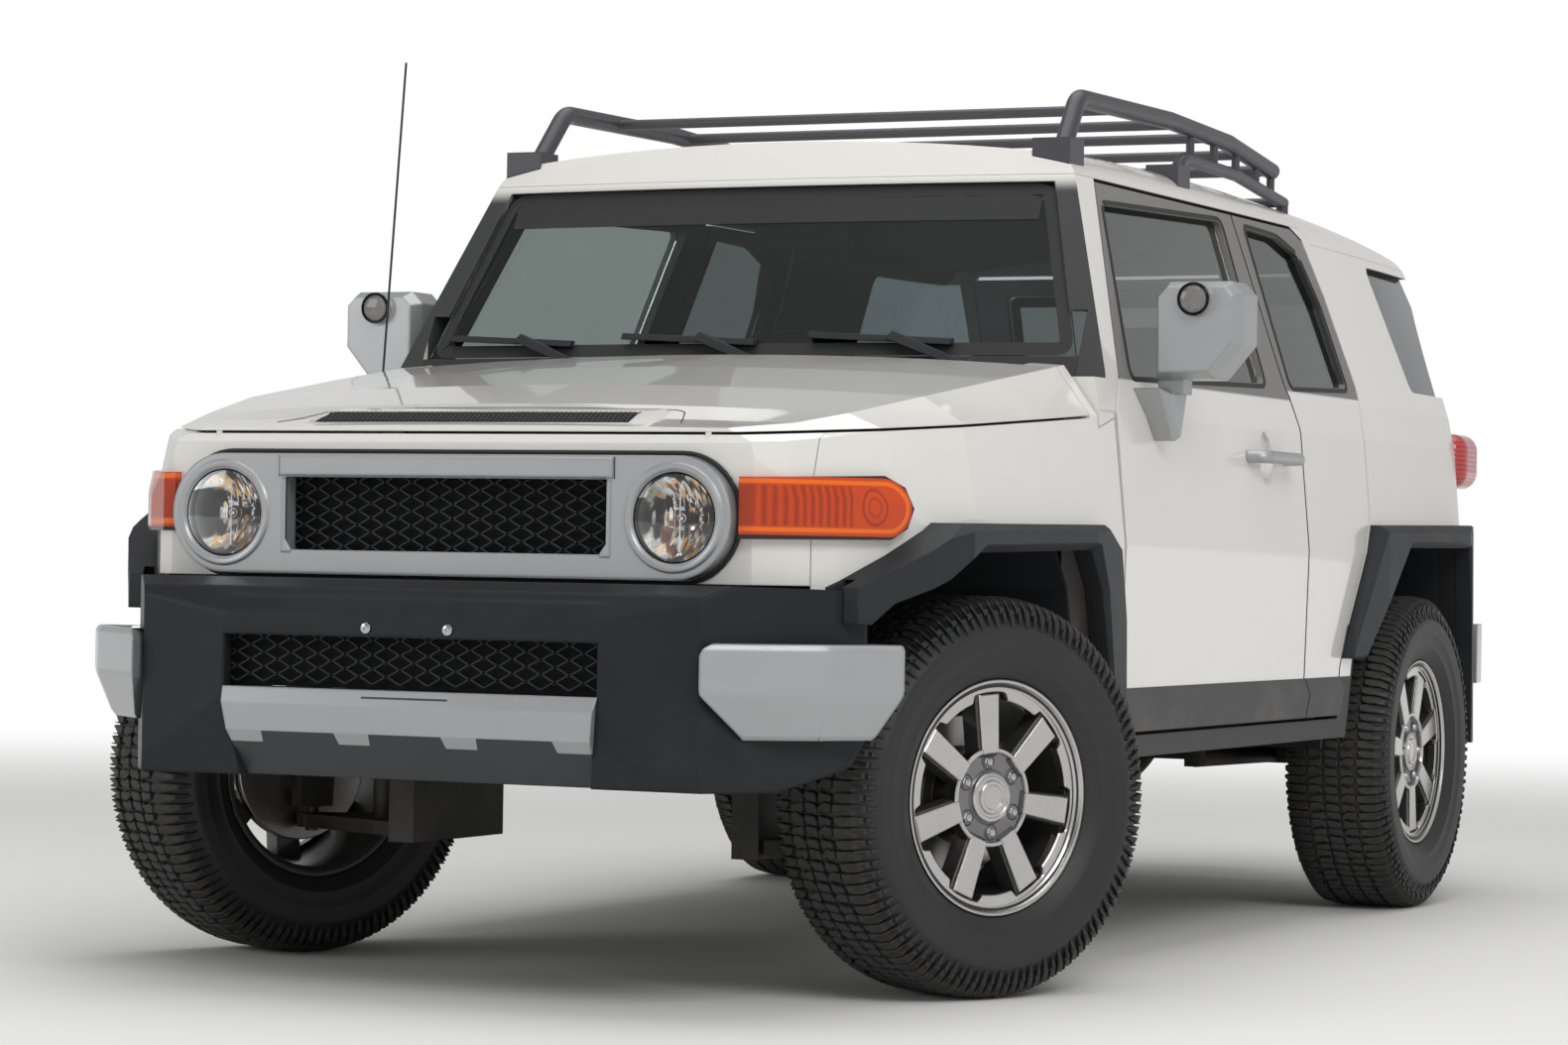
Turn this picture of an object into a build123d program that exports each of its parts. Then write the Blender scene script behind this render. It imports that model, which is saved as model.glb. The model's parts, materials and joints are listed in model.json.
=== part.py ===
from build123d import *
from math import cos, radians, sin, sqrt
import os

os.makedirs("parts", exist_ok=True)

# Frame: +X is the vehicle's left, the nose points to -Y, +Z is up, and the floor is Z = 0.
# Stations along the body are measured backwards from the front axle, in millimetres.

# Overall
LENGTH = 4670.0
FRONT_OVERHANG = 870.0
WHEELBASE = 2690.0
TRACK = 1605.0
FRONT_AXLE = FRONT_OVERHANG - LENGTH / 2


def st(station):
    """Y of a station behind the front axle."""
    return FRONT_AXLE + station


REAR_AXLE = st(WHEELBASE)

# Clearances
SEAT = 0.3
PANEL_GAP = 5.0
DOOR_GAP = 8.0

# Tyres and wheels
TYRE_RADIUS = 396.0
TYRE_WIDTH = 265.0
BEAD_RADIUS = 216.0
FLANGE_RADIUS = 232.0
RIM_HALF_WIDTH = 104.0
RIM_WALL = 9.0
SPOKE_COUNT = 7
SPOKE_FACE = 92.0
SPOKE_DEPTH = 34.0
HUB_RADIUS = 90.0
HUB_BACK = 12.0
LUG_CIRCLE = 139.7
LUG_COUNT = 6
DISC_RADIUS = 160.0
DISC_OUTER = -8.0
DISC_THICKNESS = 26.0
SPINDLE_RADIUS = 22.0
SPINDLE_RUN = 0.5
SPINDLE_END = 40.0
WHEEL_Z = TYRE_RADIUS

# Steering
KINGPIN_OFFSET = 76.0
STEER_REST = -25.0
KINGPIN_X = TRACK / 2 - KINGPIN_OFFSET
KINGPIN_RADIUS = 14.0
EYE_RADIUS = 32.0
LOWER_EYE_Z = (-128.0, -98.0)
UPPER_EYE_Z = (124.0, 150.0)

# Body walls
DOOR_THICKNESS = 50.0
FRAME_THICKNESS = 40.0
ROOF_THICKNESS = 32.0
FENDER_THICKNESS = 22.0
GLASS_THICKNESS = 5.0
GLASS_SETBACK = 14.0

# Cab section, half width: height, half width, inward wall
CAB_FLOOR_Z = 560.0
SILL_Z = 500.0
SILL_X = 894.0
WAIST_Z = 900.0
WAIST_X = 906.0
SHOULDER_Z = 1176.0
SHOULDER_X = 880.0
BELT_Z = 1262.0
BELT_X = 860.0
RAIL_Z = 1694.0
RAIL_X = 712.0
EDGE_Z = 1768.0
EDGE_X = 622.0
CREST_Z = 1811.0

# Cab sections: station, inward shift of the sides, drop of rail, drop of edge, drop of crest
CAB_SECTIONS = (
    (470.0, 0.0, 0.0, 34.0, 52.0),
    (1250.0, 0.0, 0.0, 0.0, 0.0),
    (2250.0, 0.0, 10.0, 14.0, 12.0),
    (2900.0, 14.0, 26.0, 44.0, 44.0),
    (3440.0, 54.0, 50.0, 84.0, 92.0),
)

# Openings and seams seen from the side: station, height
DOOR_FRONT = 570.0
DOOR_SPLIT = 1787.0
DOOR_SPLIT_UPPER = 1745.0
DOOR_REAR = 2282.0
DOOR_BOTTOM = 505.0
CLADDING_TOP = 596.0
ROOF_SEAM_Z = 1700.0
HANDLE_Z = 1110.0

# Windshield
GLASS_FOOT_Z = 1290.0
GLASS_FOOT = 548.0
GLASS_BOW = 44.0
GLASS_SLOPE = 0.475

# Front body
GRILLE_STATION = -690.0
HOOD_FRONT_Z = 1092.0
HOOD_REAR = 432.0
HOOD_SEAM_FRONT_Z = 1097.0
HOOD_SEAM_REAR_Z = 1172.0
HOOD_THICKNESS = 30.0

# Grille and lamps
OVAL_HALF_LENGTH = 613.0
OVAL_HALF_HEIGHT = 117.0
OVAL_Z = 931.0
HEADLAMP_X = 495.0
HEADLAMP_RADIUS = 86.0
MESH_HALF_LENGTH = 353.0
MESH_HALF_HEIGHT = 71.0
SURROUND_DEPTH = 38.0

BIG = 1300.0


def side_prism(points, x_from, x_to):
    """Outline in the side view, (y, z), carried across X."""
    with BuildPart() as prism:
        with BuildSketch(Plane.YZ.offset(x_from)):
            with BuildLine():
                Polyline(*points, close=True)
            make_face()
        extrude(amount=x_to - x_from)
    return prism.part


def front_prism(points, y_from, y_to):
    """Outline in the front view, (x, z), carried along Y."""
    with BuildPart() as prism:
        with BuildSketch(Plane.XZ.offset(-y_to)):
            with BuildLine():
                Polyline(*points, close=True)
            make_face()
        extrude(amount=y_to - y_from)
    return prism.part


def plan_prism(points, z_from, z_to):
    """Outline in the plan view, (x, y), carried up Z."""
    with BuildPart() as prism:
        with BuildSketch(Plane.XY.offset(z_from)):
            with BuildLine():
                Polyline(*points, close=True)
            make_face()
        extrude(amount=z_to - z_from)
    return prism.part


def block(x_from, x_to, s_from, s_to, z_from, z_to):
    """Plain block between two stations."""
    return plan_prism(
        [(x_from, st(s_from)), (x_to, st(s_from)), (x_to, st(s_to)), (x_from, st(s_to))], z_from, z_to
    )


def tube_between(start, end, radius):
    """Round bar from one point to another."""
    line = Vector(*end) - Vector(*start)
    with BuildPart() as bar:
        with BuildSketch(Plane(origin=start, z_dir=line)):
            Circle(radius)
        extrude(amount=line.length)
    return bar.part


def bent_tube(points, radius, bend):
    """Round bar along a line with rounded corners."""
    with BuildPart() as bar:
        with BuildLine() as path:
            FilletPolyline(*points, radius=bend)
        with BuildSketch(Plane(origin=path.line @ 0, z_dir=path.line % 0)):
            Circle(radius)
        sweep()
    return bar.part


def domed(points, y_front, y_edge, y_back, inset):
    """Front view outline carried along Y, with its front edge bevelled all round."""
    with BuildPart() as shell:
        with BuildSketch(Plane.XZ.offset(-y_back)):
            with BuildLine():
                Polyline(*points, close=True)
            make_face()
        extrude(amount=y_back - y_edge)
        with BuildSketch(Plane.XZ.offset(-y_edge)):
            with BuildLine():
                Polyline(*points, close=True)
            make_face()
        with BuildSketch(Plane.XZ.offset(-y_front)):
            with BuildLine():
                Polyline(*grown(points, -inset), close=True)
            make_face()
        loft()
    return shell.part


def bevelled(points, x_from, x_edge, x_to, inset):
    """Side view outline carried across X, with its outer edge bevelled all round."""
    with BuildPart() as slab:
        with BuildSketch(Plane.YZ.offset(x_from)):
            with BuildLine():
                Polyline(*points, close=True)
            make_face()
        extrude(amount=x_edge - x_from)
        with BuildSketch(Plane.YZ.offset(x_edge)):
            with BuildLine():
                Polyline(*points, close=True)
            make_face()
        with BuildSketch(Plane.YZ.offset(x_to)):
            with BuildLine():
                Polyline(*grown(points, -inset), close=True)
            make_face()
        loft()
    return slab.part


def mirrored(part):
    """The same piece on the vehicle's other side."""
    with BuildPart() as twin:
        mirror(part, about=Plane.YZ)
    return twin.part


def joined(*pieces):
    """Pieces of one node."""
    with BuildPart() as whole:
        for piece in pieces:
            add(piece)
    return whole.part


def less(part, *cutters):
    with BuildPart() as rest:
        add(part)
        for cutter in cutters:
            add(cutter, mode=Mode.SUBTRACT)
    return rest.part


def common(part, *others):
    with BuildPart() as rest:
        add(part)
        for other in others:
            add(other, mode=Mode.INTERSECT)
    return rest.part


def save(part, name):
    part.label = name
    export_step(part, f"parts/{name}.step")


def side_points(rows):
    """Side view table of (station, height) as (y, z)."""
    return [(st(s), z) for s, z in rows]


# Cab: one lofted outer skin and one inner skin give the wall that the panels are cut from
def cab_solid(door_in, frame_in, roof_in, bottom_z):
    with BuildPart() as cab:
        for station, shift, rail_drop, edge_drop, crest_drop in CAB_SECTIONS:
            low_x = SILL_X - shift - door_in
            waist_x = WAIST_X - shift - door_in
            shoulder_x = SHOULDER_X - shift - door_in
            belt_x = BELT_X - shift - frame_in
            rail_x = RAIL_X - shift - frame_in
            edge_x = EDGE_X - shift - roof_in
            rail_z = RAIL_Z - rail_drop - roof_in / 2
            edge_z = EDGE_Z - edge_drop - roof_in
            crest_z = CREST_Z - crest_drop - roof_in
            with BuildSketch(Plane.XZ.offset(-st(station))):
                with BuildLine():
                    Polyline(
                        (0, bottom_z),
                        (low_x, bottom_z),
                        (waist_x, WAIST_Z),
                        (shoulder_x, SHOULDER_Z),
                        (belt_x, BELT_Z),
                        (rail_x, rail_z),
                    )
                    bend = ((rail_x + edge_x) / 2 + 14, (rail_z + edge_z) / 2 + 12)
                    ThreePointArc((rail_x, rail_z), bend, (edge_x, edge_z))
                    crown = (edge_x / 2, edge_z + (crest_z - edge_z) * 0.76)
                    ThreePointArc((edge_x, edge_z), crown, (0, crest_z))
                    mirror(about=Plane.YZ)
                make_face()
        loft()
    return cab.part


def windshield_region(setback):
    """Everything behind the raked and bowed windshield surface, above the cowl."""
    foot = GLASS_FOOT + setback
    half = 1000.0
    bow = GLASS_BOW * (half / 740.0) ** 2
    with BuildPart() as region:
        with BuildSketch(Plane.XY.offset(GLASS_FOOT_Z)):
            with BuildLine():
                ThreePointArc(
                    (-half, st(foot - GLASS_BOW + bow)),
                    (0, st(foot - GLASS_BOW)),
                    (half, st(foot - GLASS_BOW + bow)),
                )
                Polyline(
                    (half, st(foot - GLASS_BOW + bow)),
                    (half, st(4600)),
                    (-half, st(4600)),
                    (-half, st(foot - GLASS_BOW + bow)),
                )
            make_face()
        extrude(amount=700, dir=(0, GLASS_SLOPE, 1))
        with BuildSketch(Plane.XY.offset(GLASS_FOOT_Z)):
            with BuildLine():
                ThreePointArc(
                    (-half, st(foot - GLASS_BOW + bow)),
                    (0, st(foot - GLASS_BOW)),
                    (half, st(foot - GLASS_BOW + bow)),
                )
                Polyline(
                    (half, st(foot - GLASS_BOW + bow)),
                    (half, st(4600)),
                    (-half, st(4600)),
                    (-half, st(foot - GLASS_BOW + bow)),
                )
            make_face()
        extrude(amount=-60, dir=(0, GLASS_SLOPE, 1))
    return region.part


FIREWALL = 478.0
REAR_PANEL = 3430.0
REAR_TOP = 3230.0
CORNER_RADIUS = 230.0


def cab_limits(inset):
    """Firewall, windshield, rear corners and rear panel as one trimming solid."""
    rear_low = REAR_PANEL - inset
    rear_high = REAR_TOP - inset
    side_view = side_prism(
        side_points(
            (
                (FIREWALL + inset, 300),
                (FIREWALL + inset, GLASS_FOOT_Z - 50),
                (300, GLASS_FOOT_Z - 50),
                (300, 2000),
                (rear_high - 90, 2000),
                (rear_high, ROOF_SEAM_Z),
                (rear_low, BELT_Z + 20),
                (rear_low, 300),
            )
        ),
        -BIG,
        BIG,
    )
    half = 930.0 - inset
    with BuildPart() as plan:
        with BuildSketch(Plane.XY.offset(200)):
            with BuildLine():
                Polyline(
                    (-half + CORNER_RADIUS + 40, st(rear_low + 2)),
                    (half - CORNER_RADIUS - 40, st(rear_low + 2)),
                )
                RadiusArc(
                    (half - CORNER_RADIUS - 40, st(rear_low + 2)),
                    (half - 20, st(rear_low - CORNER_RADIUS - 60)),
                    -CORNER_RADIUS - 110,
                )
                Polyline(
                    (half - 20, st(rear_low - CORNER_RADIUS - 60)),
                    (half, st(2400)),
                    (half, st(300)),
                    (-half, st(300)),
                    (-half, st(2400)),
                    (-half + 20, st(rear_low - CORNER_RADIUS - 60)),
                )
                RadiusArc(
                    (-half + 20, st(rear_low - CORNER_RADIUS - 60)),
                    (-half + CORNER_RADIUS + 40, st(rear_low + 2)),
                    -CORNER_RADIUS - 110,
                )
            make_face()
        extrude(amount=1800)
    lower = block(-BIG, BIG, FIREWALL + inset, 4600, 300, GLASS_FOOT_Z - 40)
    glass = windshield_region(inset)
    with BuildPart() as limits:
        add(lower)
        add(glass)
        add(side_view, mode=Mode.INTERSECT)
        add(plan.part, mode=Mode.INTERSECT)
    return limits.part



cab_outer = common(cab_solid(0, 0, 0, SILL_Z - 50), cab_limits(0))
cab_inner = common(
    cab_solid(DOOR_THICKNESS, FRAME_THICKNESS, ROOF_THICKNESS, SILL_Z - 70), cab_limits(FRAME_THICKNESS)
)
cab_shell = less(cab_outer, cab_inner)
glass_back = GLASS_SETBACK + GLASS_THICKNESS
glass_skin = less(
    common(cab_solid(GLASS_SETBACK, GLASS_SETBACK, GLASS_SETBACK, SILL_Z), cab_limits(GLASS_SETBACK)),
    common(cab_solid(glass_back, glass_back, glass_back, SILL_Z - 20), cab_limits(glass_back)),
)


# Seams and window openings as seen from the side: station, height
def grown(points, growth):
    """Outline with each edge moved outwards by the growth, corners kept sharp."""
    count = len(points)
    turn = sum(
        points[i - 1][0] * points[i][1] - points[i][0] * points[i - 1][1] for i in range(count)
    )
    outward = growth if turn > 0 else -growth
    moved = []
    for i in range(count):
        before, here, after = points[i - 1], points[i], points[(i + 1) % count]
        ax, ay = here[0] - before[0], here[1] - before[1]
        bx, by = after[0] - here[0], after[1] - here[1]
        length_a = sqrt(ax * ax + ay * ay)
        length_b = sqrt(bx * bx + by * by)
        ax, ay, bx, by = ax / length_a, ay / length_a, bx / length_b, by / length_b
        reach = outward / (1 + ax * bx + ay * by)
        moved.append((here[0] + reach * (ay + by), here[1] - reach * (ax + bx)))
    return moved


def rounded_prism(rows, growth, x_from, x_to, radius=0):
    """Side view outline grown or shrunk by a clearance, with rounded corners."""
    with BuildPart() as prism:
        with BuildSketch(Plane.YZ.offset(x_from)) as outline:
            with BuildLine():
                Polyline(*grown(side_points(rows), growth), close=True)
            make_face()
            if radius:
                fillet(outline.vertices(), radius)
        extrude(amount=x_to - x_from)
    return prism.part


FRONT_DOOR = (
    (DOOR_FRONT, DOOR_BOTTOM - 4),
    (DOOR_FRONT, 1180),
    (622, 1248),
    (850, ROOF_SEAM_Z - 4),
    (DOOR_SPLIT_UPPER, ROOF_SEAM_Z - 4),
    (DOOR_SPLIT_UPPER, 1290),
    (DOOR_SPLIT, 1190),
    (DOOR_SPLIT, DOOR_BOTTOM - 4),
)
REAR_DOOR = (
    (DOOR_SPLIT, DOOR_BOTTOM - 4),
    (DOOR_SPLIT, 1190),
    (DOOR_SPLIT_UPPER, 1290),
    (DOOR_SPLIT_UPPER, ROOF_SEAM_Z - 4),
    (2190, ROOF_SEAM_Z - 4),
    (2262, 1668),
    (2300, 1531),
    (2322, 1306),
    (DOOR_REAR, 1200),
    (DOOR_REAR, 985),
    (2198, 850),
    (2110, 725),
    (2056, 620),
    (2048, DOOR_BOTTOM - 4),
)
FRONT_WINDOW = ((704, 1262), (856, 1642), (1648, 1668), (1600, 1286))
REAR_WINDOW = ((1792, 1288), (1820, 1666), (2060, 1660), (2180, 1626), (2232, 1502), (2236, 1302))
QUARTER_WINDOW = ((2782, 1640), (2842, 1318), (3700, 1318), (3700, 1640))
ROOF_ZONE = ((300, ROOF_SEAM_Z), (2266, ROOF_SEAM_Z), (2330, 1664), (3900, 1658), (3900, 2000), (300, 2000))
REAR_ARCH = ((2110, 380), (2165, 650), (2480, 925), (3072, 930), (3128, 640), (3134, 380))

front_door_cut = rounded_prism(FRONT_DOOR, DOOR_GAP / 2, 500, BIG)
front_door_zone = rounded_prism(FRONT_DOOR, -DOOR_GAP / 2, 500, BIG)
rear_door_cut = rounded_prism(REAR_DOOR, DOOR_GAP / 2, 500, BIG)
rear_door_zone = rounded_prism(REAR_DOOR, -DOOR_GAP / 2, 500, BIG)
front_window = rounded_prism(FRONT_WINDOW, 0, 400, BIG, 22)
rear_window = rounded_prism(REAR_WINDOW, 0, 400, BIG, 20)
quarter_window = common(
    rounded_prism(QUARTER_WINDOW, 0, 400, BIG, 26), block(605, BIG, 2500, 3600, 1000, 1800)
)
rear_arch = side_prism(side_points(REAR_ARCH), 630, BIG)
roof_zone = side_prism(side_points(ROOF_ZONE), -BIG, BIG)

# Windshield opening seen from the front: half width, height
GLASS_TOP_Z = 1684.0
GLASS_BASE_Z = 1297.0
GLASS_TOP_X = 668.0
GLASS_BASE_X = 786.0


def windshield_opening(clearance):
    base_x = GLASS_BASE_X - clearance
    top_x = GLASS_TOP_X - clearance
    base_z = GLASS_BASE_Z + clearance
    top_z = GLASS_TOP_Z - clearance
    return front_prism(
        [(-base_x, base_z), (base_x, base_z), (top_x, top_z), (-top_x, top_z)], st(300), st(940)
    )


# Tailgate opening seen from behind
GATE_BASE_X = 585.0
GATE_TOP_X = 560.0
GATE_BASE_Z = 722.0
GATE_TOP_Z = 1650.0


def gate_zone(growth):
    base_x = GATE_BASE_X + growth
    top_x = GATE_TOP_X + growth
    base_z = GATE_BASE_Z - growth
    top_z = GATE_TOP_Z + growth
    return front_prism(
        [(-base_x, base_z), (base_x, base_z), (top_x, top_z), (-top_x, top_z)], st(2950), st(3600)
    )


GATE_WINDOW_X = 486.0


def gate_window(clearance):
    half = GATE_WINDOW_X - clearance
    return front_prism(
        [
            (-half, 1316 + clearance),
            (half, 1316 + clearance),
            (half - 14, 1606 - clearance),
            (-half + 14, 1606 - clearance),
        ],
        st(2950),
        st(3600),
    )


BULKHEAD_X = 796.0
FLOOR_Z = 520.0
FLOOR_THICKNESS = 25.0
bulkhead_zone = block(-BULKHEAD_X, BULKHEAD_X, 400, 800, FLOOR_Z + FLOOR_THICKNESS + SEAT, GLASS_BASE_Z)

# Sides, roof and bulkhead
left_half = block(0, BIG, 0, 4600, 300, 2000)
fender_overlap = block(SHOULDER_X - 4, BIG, 300, DOOR_FRONT - 3, 300, SHOULDER_Z + 4)
side_left = less(
    common(cab_shell, left_half),
    roof_zone,
    front_door_cut,
    rear_door_cut,
    windshield_opening(-SEAT),
    quarter_window,
    gate_zone(PANEL_GAP),
    rear_arch,
    block(-BIG, BULKHEAD_X + SEAT, 300, 940, 300, GLASS_BASE_Z + 100),
    block(-10, 560, 3000, 3700, 1500, 2000),
    block(-10, GATE_BASE_X, 3000, 3700, 300, GATE_BASE_Z + 10),
    fender_overlap,
)
side_left = side_left.solids().sort_by(SortBy.VOLUME)[-1]
SEAL_X = 862.0
SEAL_WIDTH = 12.0
sill_top = DOOR_BOTTOM - 4 - DOOR_GAP / 2
seal = block(SEAL_X - SEAL_WIDTH, SEAL_X, 640, 1980, sill_top - 1, DOOR_BOTTOM - 4 + DOOR_GAP / 2 - SEAT)
side_left = joined(side_left, seal)
save(side_left, "body_side_left")
save(mirrored(side_left), "body_side_right")

roof = common(cab_shell, side_prism(side_points([(s, z + SEAT) for s, z in ROOF_ZONE]), -BIG, BIG))
roof = less(roof, windshield_opening(-SEAT), gate_zone(PANEL_GAP))
save(roof, "roof_panel")

# Tunnel over the gearbox: half width at the floor, half width at the top
TUNNEL_BASE_X = 190.0
TUNNEL_TOP_X = 160.0
TUNNEL_Z = 812.0
TUNNEL_END = 1500.0


def tunnel_prism(inset, s_from, s_to):
    base_x = TUNNEL_BASE_X - inset
    top_x = TUNNEL_TOP_X - inset
    top_z = TUNNEL_Z - inset
    return front_prism(
        [(-base_x, FLOOR_Z - 20), (base_x, FLOOR_Z - 20), (top_x, top_z), (-top_x, top_z)], st(s_from), st(s_to)
    )


bulkhead = less(
    common(cab_shell, bulkhead_zone), windshield_opening(-SEAT), tunnel_prism(-SEAT, 400, 700)
)
save(bulkhead, "bulkhead")

# Doors. Their meeting faces slant apart inwards, so that either door swings clear of the other.
CLADDING = ((850, DOOR_BOTTOM), (905, DOOR_BOTTOM), (914, 562), (902, CLADDING_TOP), (850, CLADDING_TOP))


# from height, to height, skin half width, its lean, the seam's lean, seam station, shift of the inner edge
# of the front door and of the rear door
MEETING = (
    (485, 900, 893.5, 0.03, 0.0, DOOR_SPLIT, -4.0, 8.0),
    (900, 1190, 906.0, -0.1, 0.0, DOOR_SPLIT, -5.0, 9.0),
    (1190, 1290, 877.0, -0.27, -0.42, DOOR_SPLIT, -10.0, 18.0),
    (1290, 1720, 850.0, -0.345, 0.0, DOOR_SPLIT_UPPER, -14.0, 30.0),
)
MEETING_DEPTH = 60.0
MEETING_PROUD = 20.0


def meeting_wedges(side, column):
    """Wedges that slant one door's meeting face, deeper towards the cabin."""
    wedges = []
    for row in MEETING:
        z_from, z_to, skin, lean, seam_lean, station = row[:6]
        face = station + side * DOOR_GAP / 2
        shift = row[column]
        with BuildPart() as wedge:
            with BuildSketch(Plane.XY.offset(z_from)):
                with BuildLine():
                    Polyline(
                        (skin + MEETING_PROUD, st(face - shift * MEETING_PROUD / MEETING_DEPTH)),
                        (skin - MEETING_DEPTH, st(face + shift)),
                        (skin - MEETING_DEPTH, st(face - side * 40)),
                        (skin + MEETING_PROUD, st(face - side * 40)),
                        close=True,
                    )
                make_face()
            extrude(amount=(z_to - z_from) * sqrt(1 + lean**2 + seam_lean**2), dir=(lean, seam_lean, 1))
        wedges.append(wedge.part)
    return wedges


HANDLE_RECESS = (
    (1520, 1041), (1488, 1062), (1470, 1110), (1488, 1152), (1520, 1173), (1552, 1152), (1570, 1110), (1552, 1062),
)
recess = side_prism(side_points(HANDLE_RECESS), 873, BIG)
front_door_skin = less(
    joined(
        less(common(cab_shell, front_door_zone), front_window),
        front_prism(CLADDING, st(DOOR_FRONT + DOOR_GAP / 2), st(DOOR_SPLIT - DOOR_GAP / 2)),
    ),
    recess,
    *meeting_wedges(-1, 6),
)
rear_door_skin = less(
    joined(
        less(common(cab_shell, rear_door_zone), rear_window),
        common(front_prism(CLADDING, st(DOOR_SPLIT), st(2060)), rear_door_zone),
    ),
    *meeting_wedges(1, 7),
)
save(front_door_skin, "door_front_left")
save(mirrored(front_door_skin), "door_front_right")
save(rear_door_skin, "door_rear_left")
save(mirrored(rear_door_skin), "door_rear_right")

front_glass = common(glass_skin, rounded_prism(FRONT_WINDOW, -SEAT, 400, BIG, 22))
rear_glass = common(glass_skin, rounded_prism(REAR_WINDOW, -SEAT, 400, BIG, 20))
save(front_glass, "glass_front_left")
save(mirrored(front_glass), "glass_front_right")
save(rear_glass, "glass_rear_left")
save(mirrored(rear_glass), "glass_rear_right")
quarter_glass = common(
    glass_skin,
    rounded_prism(QUARTER_WINDOW, -SEAT, 400, BIG, 26),
    block(605 + SEAT, BIG, 2500, 3600, 1000, 1800),
)
windshield = less(
    common(windshield_region(12), windshield_opening(0)),
    windshield_region(12 + GLASS_THICKNESS),
)
save(joined(windshield, quarter_glass, mirrored(quarter_glass)), "fixed_glass")

tailgate = less(common(cab_shell, gate_zone(0)), gate_window(0))
save(tailgate, "tailgate")
save(common(glass_skin, gate_window(SEAT)), "glass_tailgate")

# Front body: one lofted skin, split into hood, fenders and front panel
# station, low and waist half width, seam half width, shoulder half width, seam, shoulder, crown height
FRONT_SECTIONS = (
    (-720.0, 650.0, 606.0, 540.0, 1074.0, 1094.0, 1099.0),
    (-640.0, 724.0, 678.0, 606.0, 1078.0, 1106.0, 1111.0),
    (-560.0, 782.0, 736.0, 662.0, 1088.0, 1115.0, 1126.0),
    (-440.0, 842.0, 796.0, 718.0, 1106.0, 1138.0, 1157.0),
    (-200.0, 896.0, 852.0, 770.0, 1130.0, 1180.0, 1205.0),
    (150.0, 903.0, 866.0, 788.0, 1151.0, 1230.0, 1258.0),
    (575.0, 905.0, 876.0, 800.0, 1174.0, 1288.0, 1318.0),
)
# half width and station of the body's edge in plan, from the nose back
FRONT_EDGE = ((640, -690), (700, -640), (760, -560), (812, -470), (850, -380), (888, -200), (905, 150), (905, 600))
FRONT_PLAN = FRONT_EDGE + tuple((-x, s) for x, s in reversed(FRONT_EDGE))
FRONT_NOSE = ((-690, 400), (-690, 1072), (-678, 1094), (-640, 1200), (600, 1500), (600, 400))
FRONT_LOW_Z = 560.0


def front_solid(inset):
    with BuildPart() as body:
        for station, waist_x, seam_x, shoulder_x, seam_z, shoulder_z, crown_z in FRONT_SECTIONS:
            with BuildSketch(Plane.XZ.offset(-st(station))):
                with BuildLine():
                    Polyline(
                        (0, FRONT_LOW_Z - inset),
                        (waist_x - inset, FRONT_LOW_Z - inset),
                        (waist_x - inset, WAIST_Z),
                        (seam_x - inset, seam_z),
                        (shoulder_x - inset, shoulder_z - inset / 2),
                    )
                    ThreePointArc(
                        (shoulder_x - inset, shoulder_z - inset / 2),
                        (shoulder_x / 2, crown_z - inset - (crown_z - shoulder_z) * 0.25),
                        (0, crown_z - inset),
                    )
                    mirror(about=Plane.YZ)
                make_face()
        loft(ruled=True)
    plan = plan_prism(grown([(x, st(s)) for x, s in FRONT_PLAN], -inset), 300, 1600)
    nose = side_prism(grown(side_points(FRONT_NOSE), -inset), -BIG, BIG)
    return common(body.part, plan, nose)


front_outer = front_solid(0)
front_shell = less(front_outer, front_solid(FENDER_THICKNESS))
hood_shell = less(front_outer, front_solid(HOOD_THICKNESS))

HOOD_SEAM = ((-800, 1087), (-690, 1090), (HOOD_REAR, HOOD_SEAM_REAR_Z - 8), (HOOD_REAR, 1500), (-800, 1500))
FRONT_ARCH = (
    (-575, 400), (-560, 740), (-519, 777), (-282, 876), (326, 887), (392, 806), (455, 601), (462, 400),
)
hood_zone = rounded_prism(HOOD_SEAM, -PANEL_GAP / 2, -BIG, BIG)
hood_cut = rounded_prism(HOOD_SEAM, PANEL_GAP / 2, -BIG, BIG)
VENT = ((-572, 1108), (-572, 1250), (-506, 1250), (-506, 1122))
hood = less(common(hood_shell, hood_zone), side_prism(side_points(VENT), -353, 353))
save(hood, "hood")

FENDER_INNER = 723.0
PANEL_END = -470.0
front_arch = side_prism(side_points(FRONT_ARCH), 300, BIG)
fender = less(
    common(front_shell, block(FENDER_INNER, BIG, -720, DOOR_FRONT - PANEL_GAP, 400, 1400)),
    hood_cut,
    front_arch,
    block(0, SHOULDER_X - 4 + SEAT, FIREWALL - 6, 700, 300, 1500),
)
fender = fender.solids().sort_by(SortBy.VOLUME)[-1]
save(joined(fender, mirrored(fender)), "fenders")


def oblong(half_length, half_height, y_from, y_to, z):
    with BuildPart() as bar:
        with BuildSketch(Plane.XZ.offset(-y_to)):
            with Locations((0, z)):
                SlotOverall(2 * half_length, 2 * half_height)
        extrude(amount=y_to - y_from)
    return bar.part


def round_bar_y(x, y_from, y_to, z, radius):
    with BuildPart() as bar:
        with BuildSketch(Plane.XZ.offset(-y_to)):
            with Locations((x, z)):
                Circle(radius)
        extrude(amount=y_to - y_from)
    return bar.part


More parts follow.
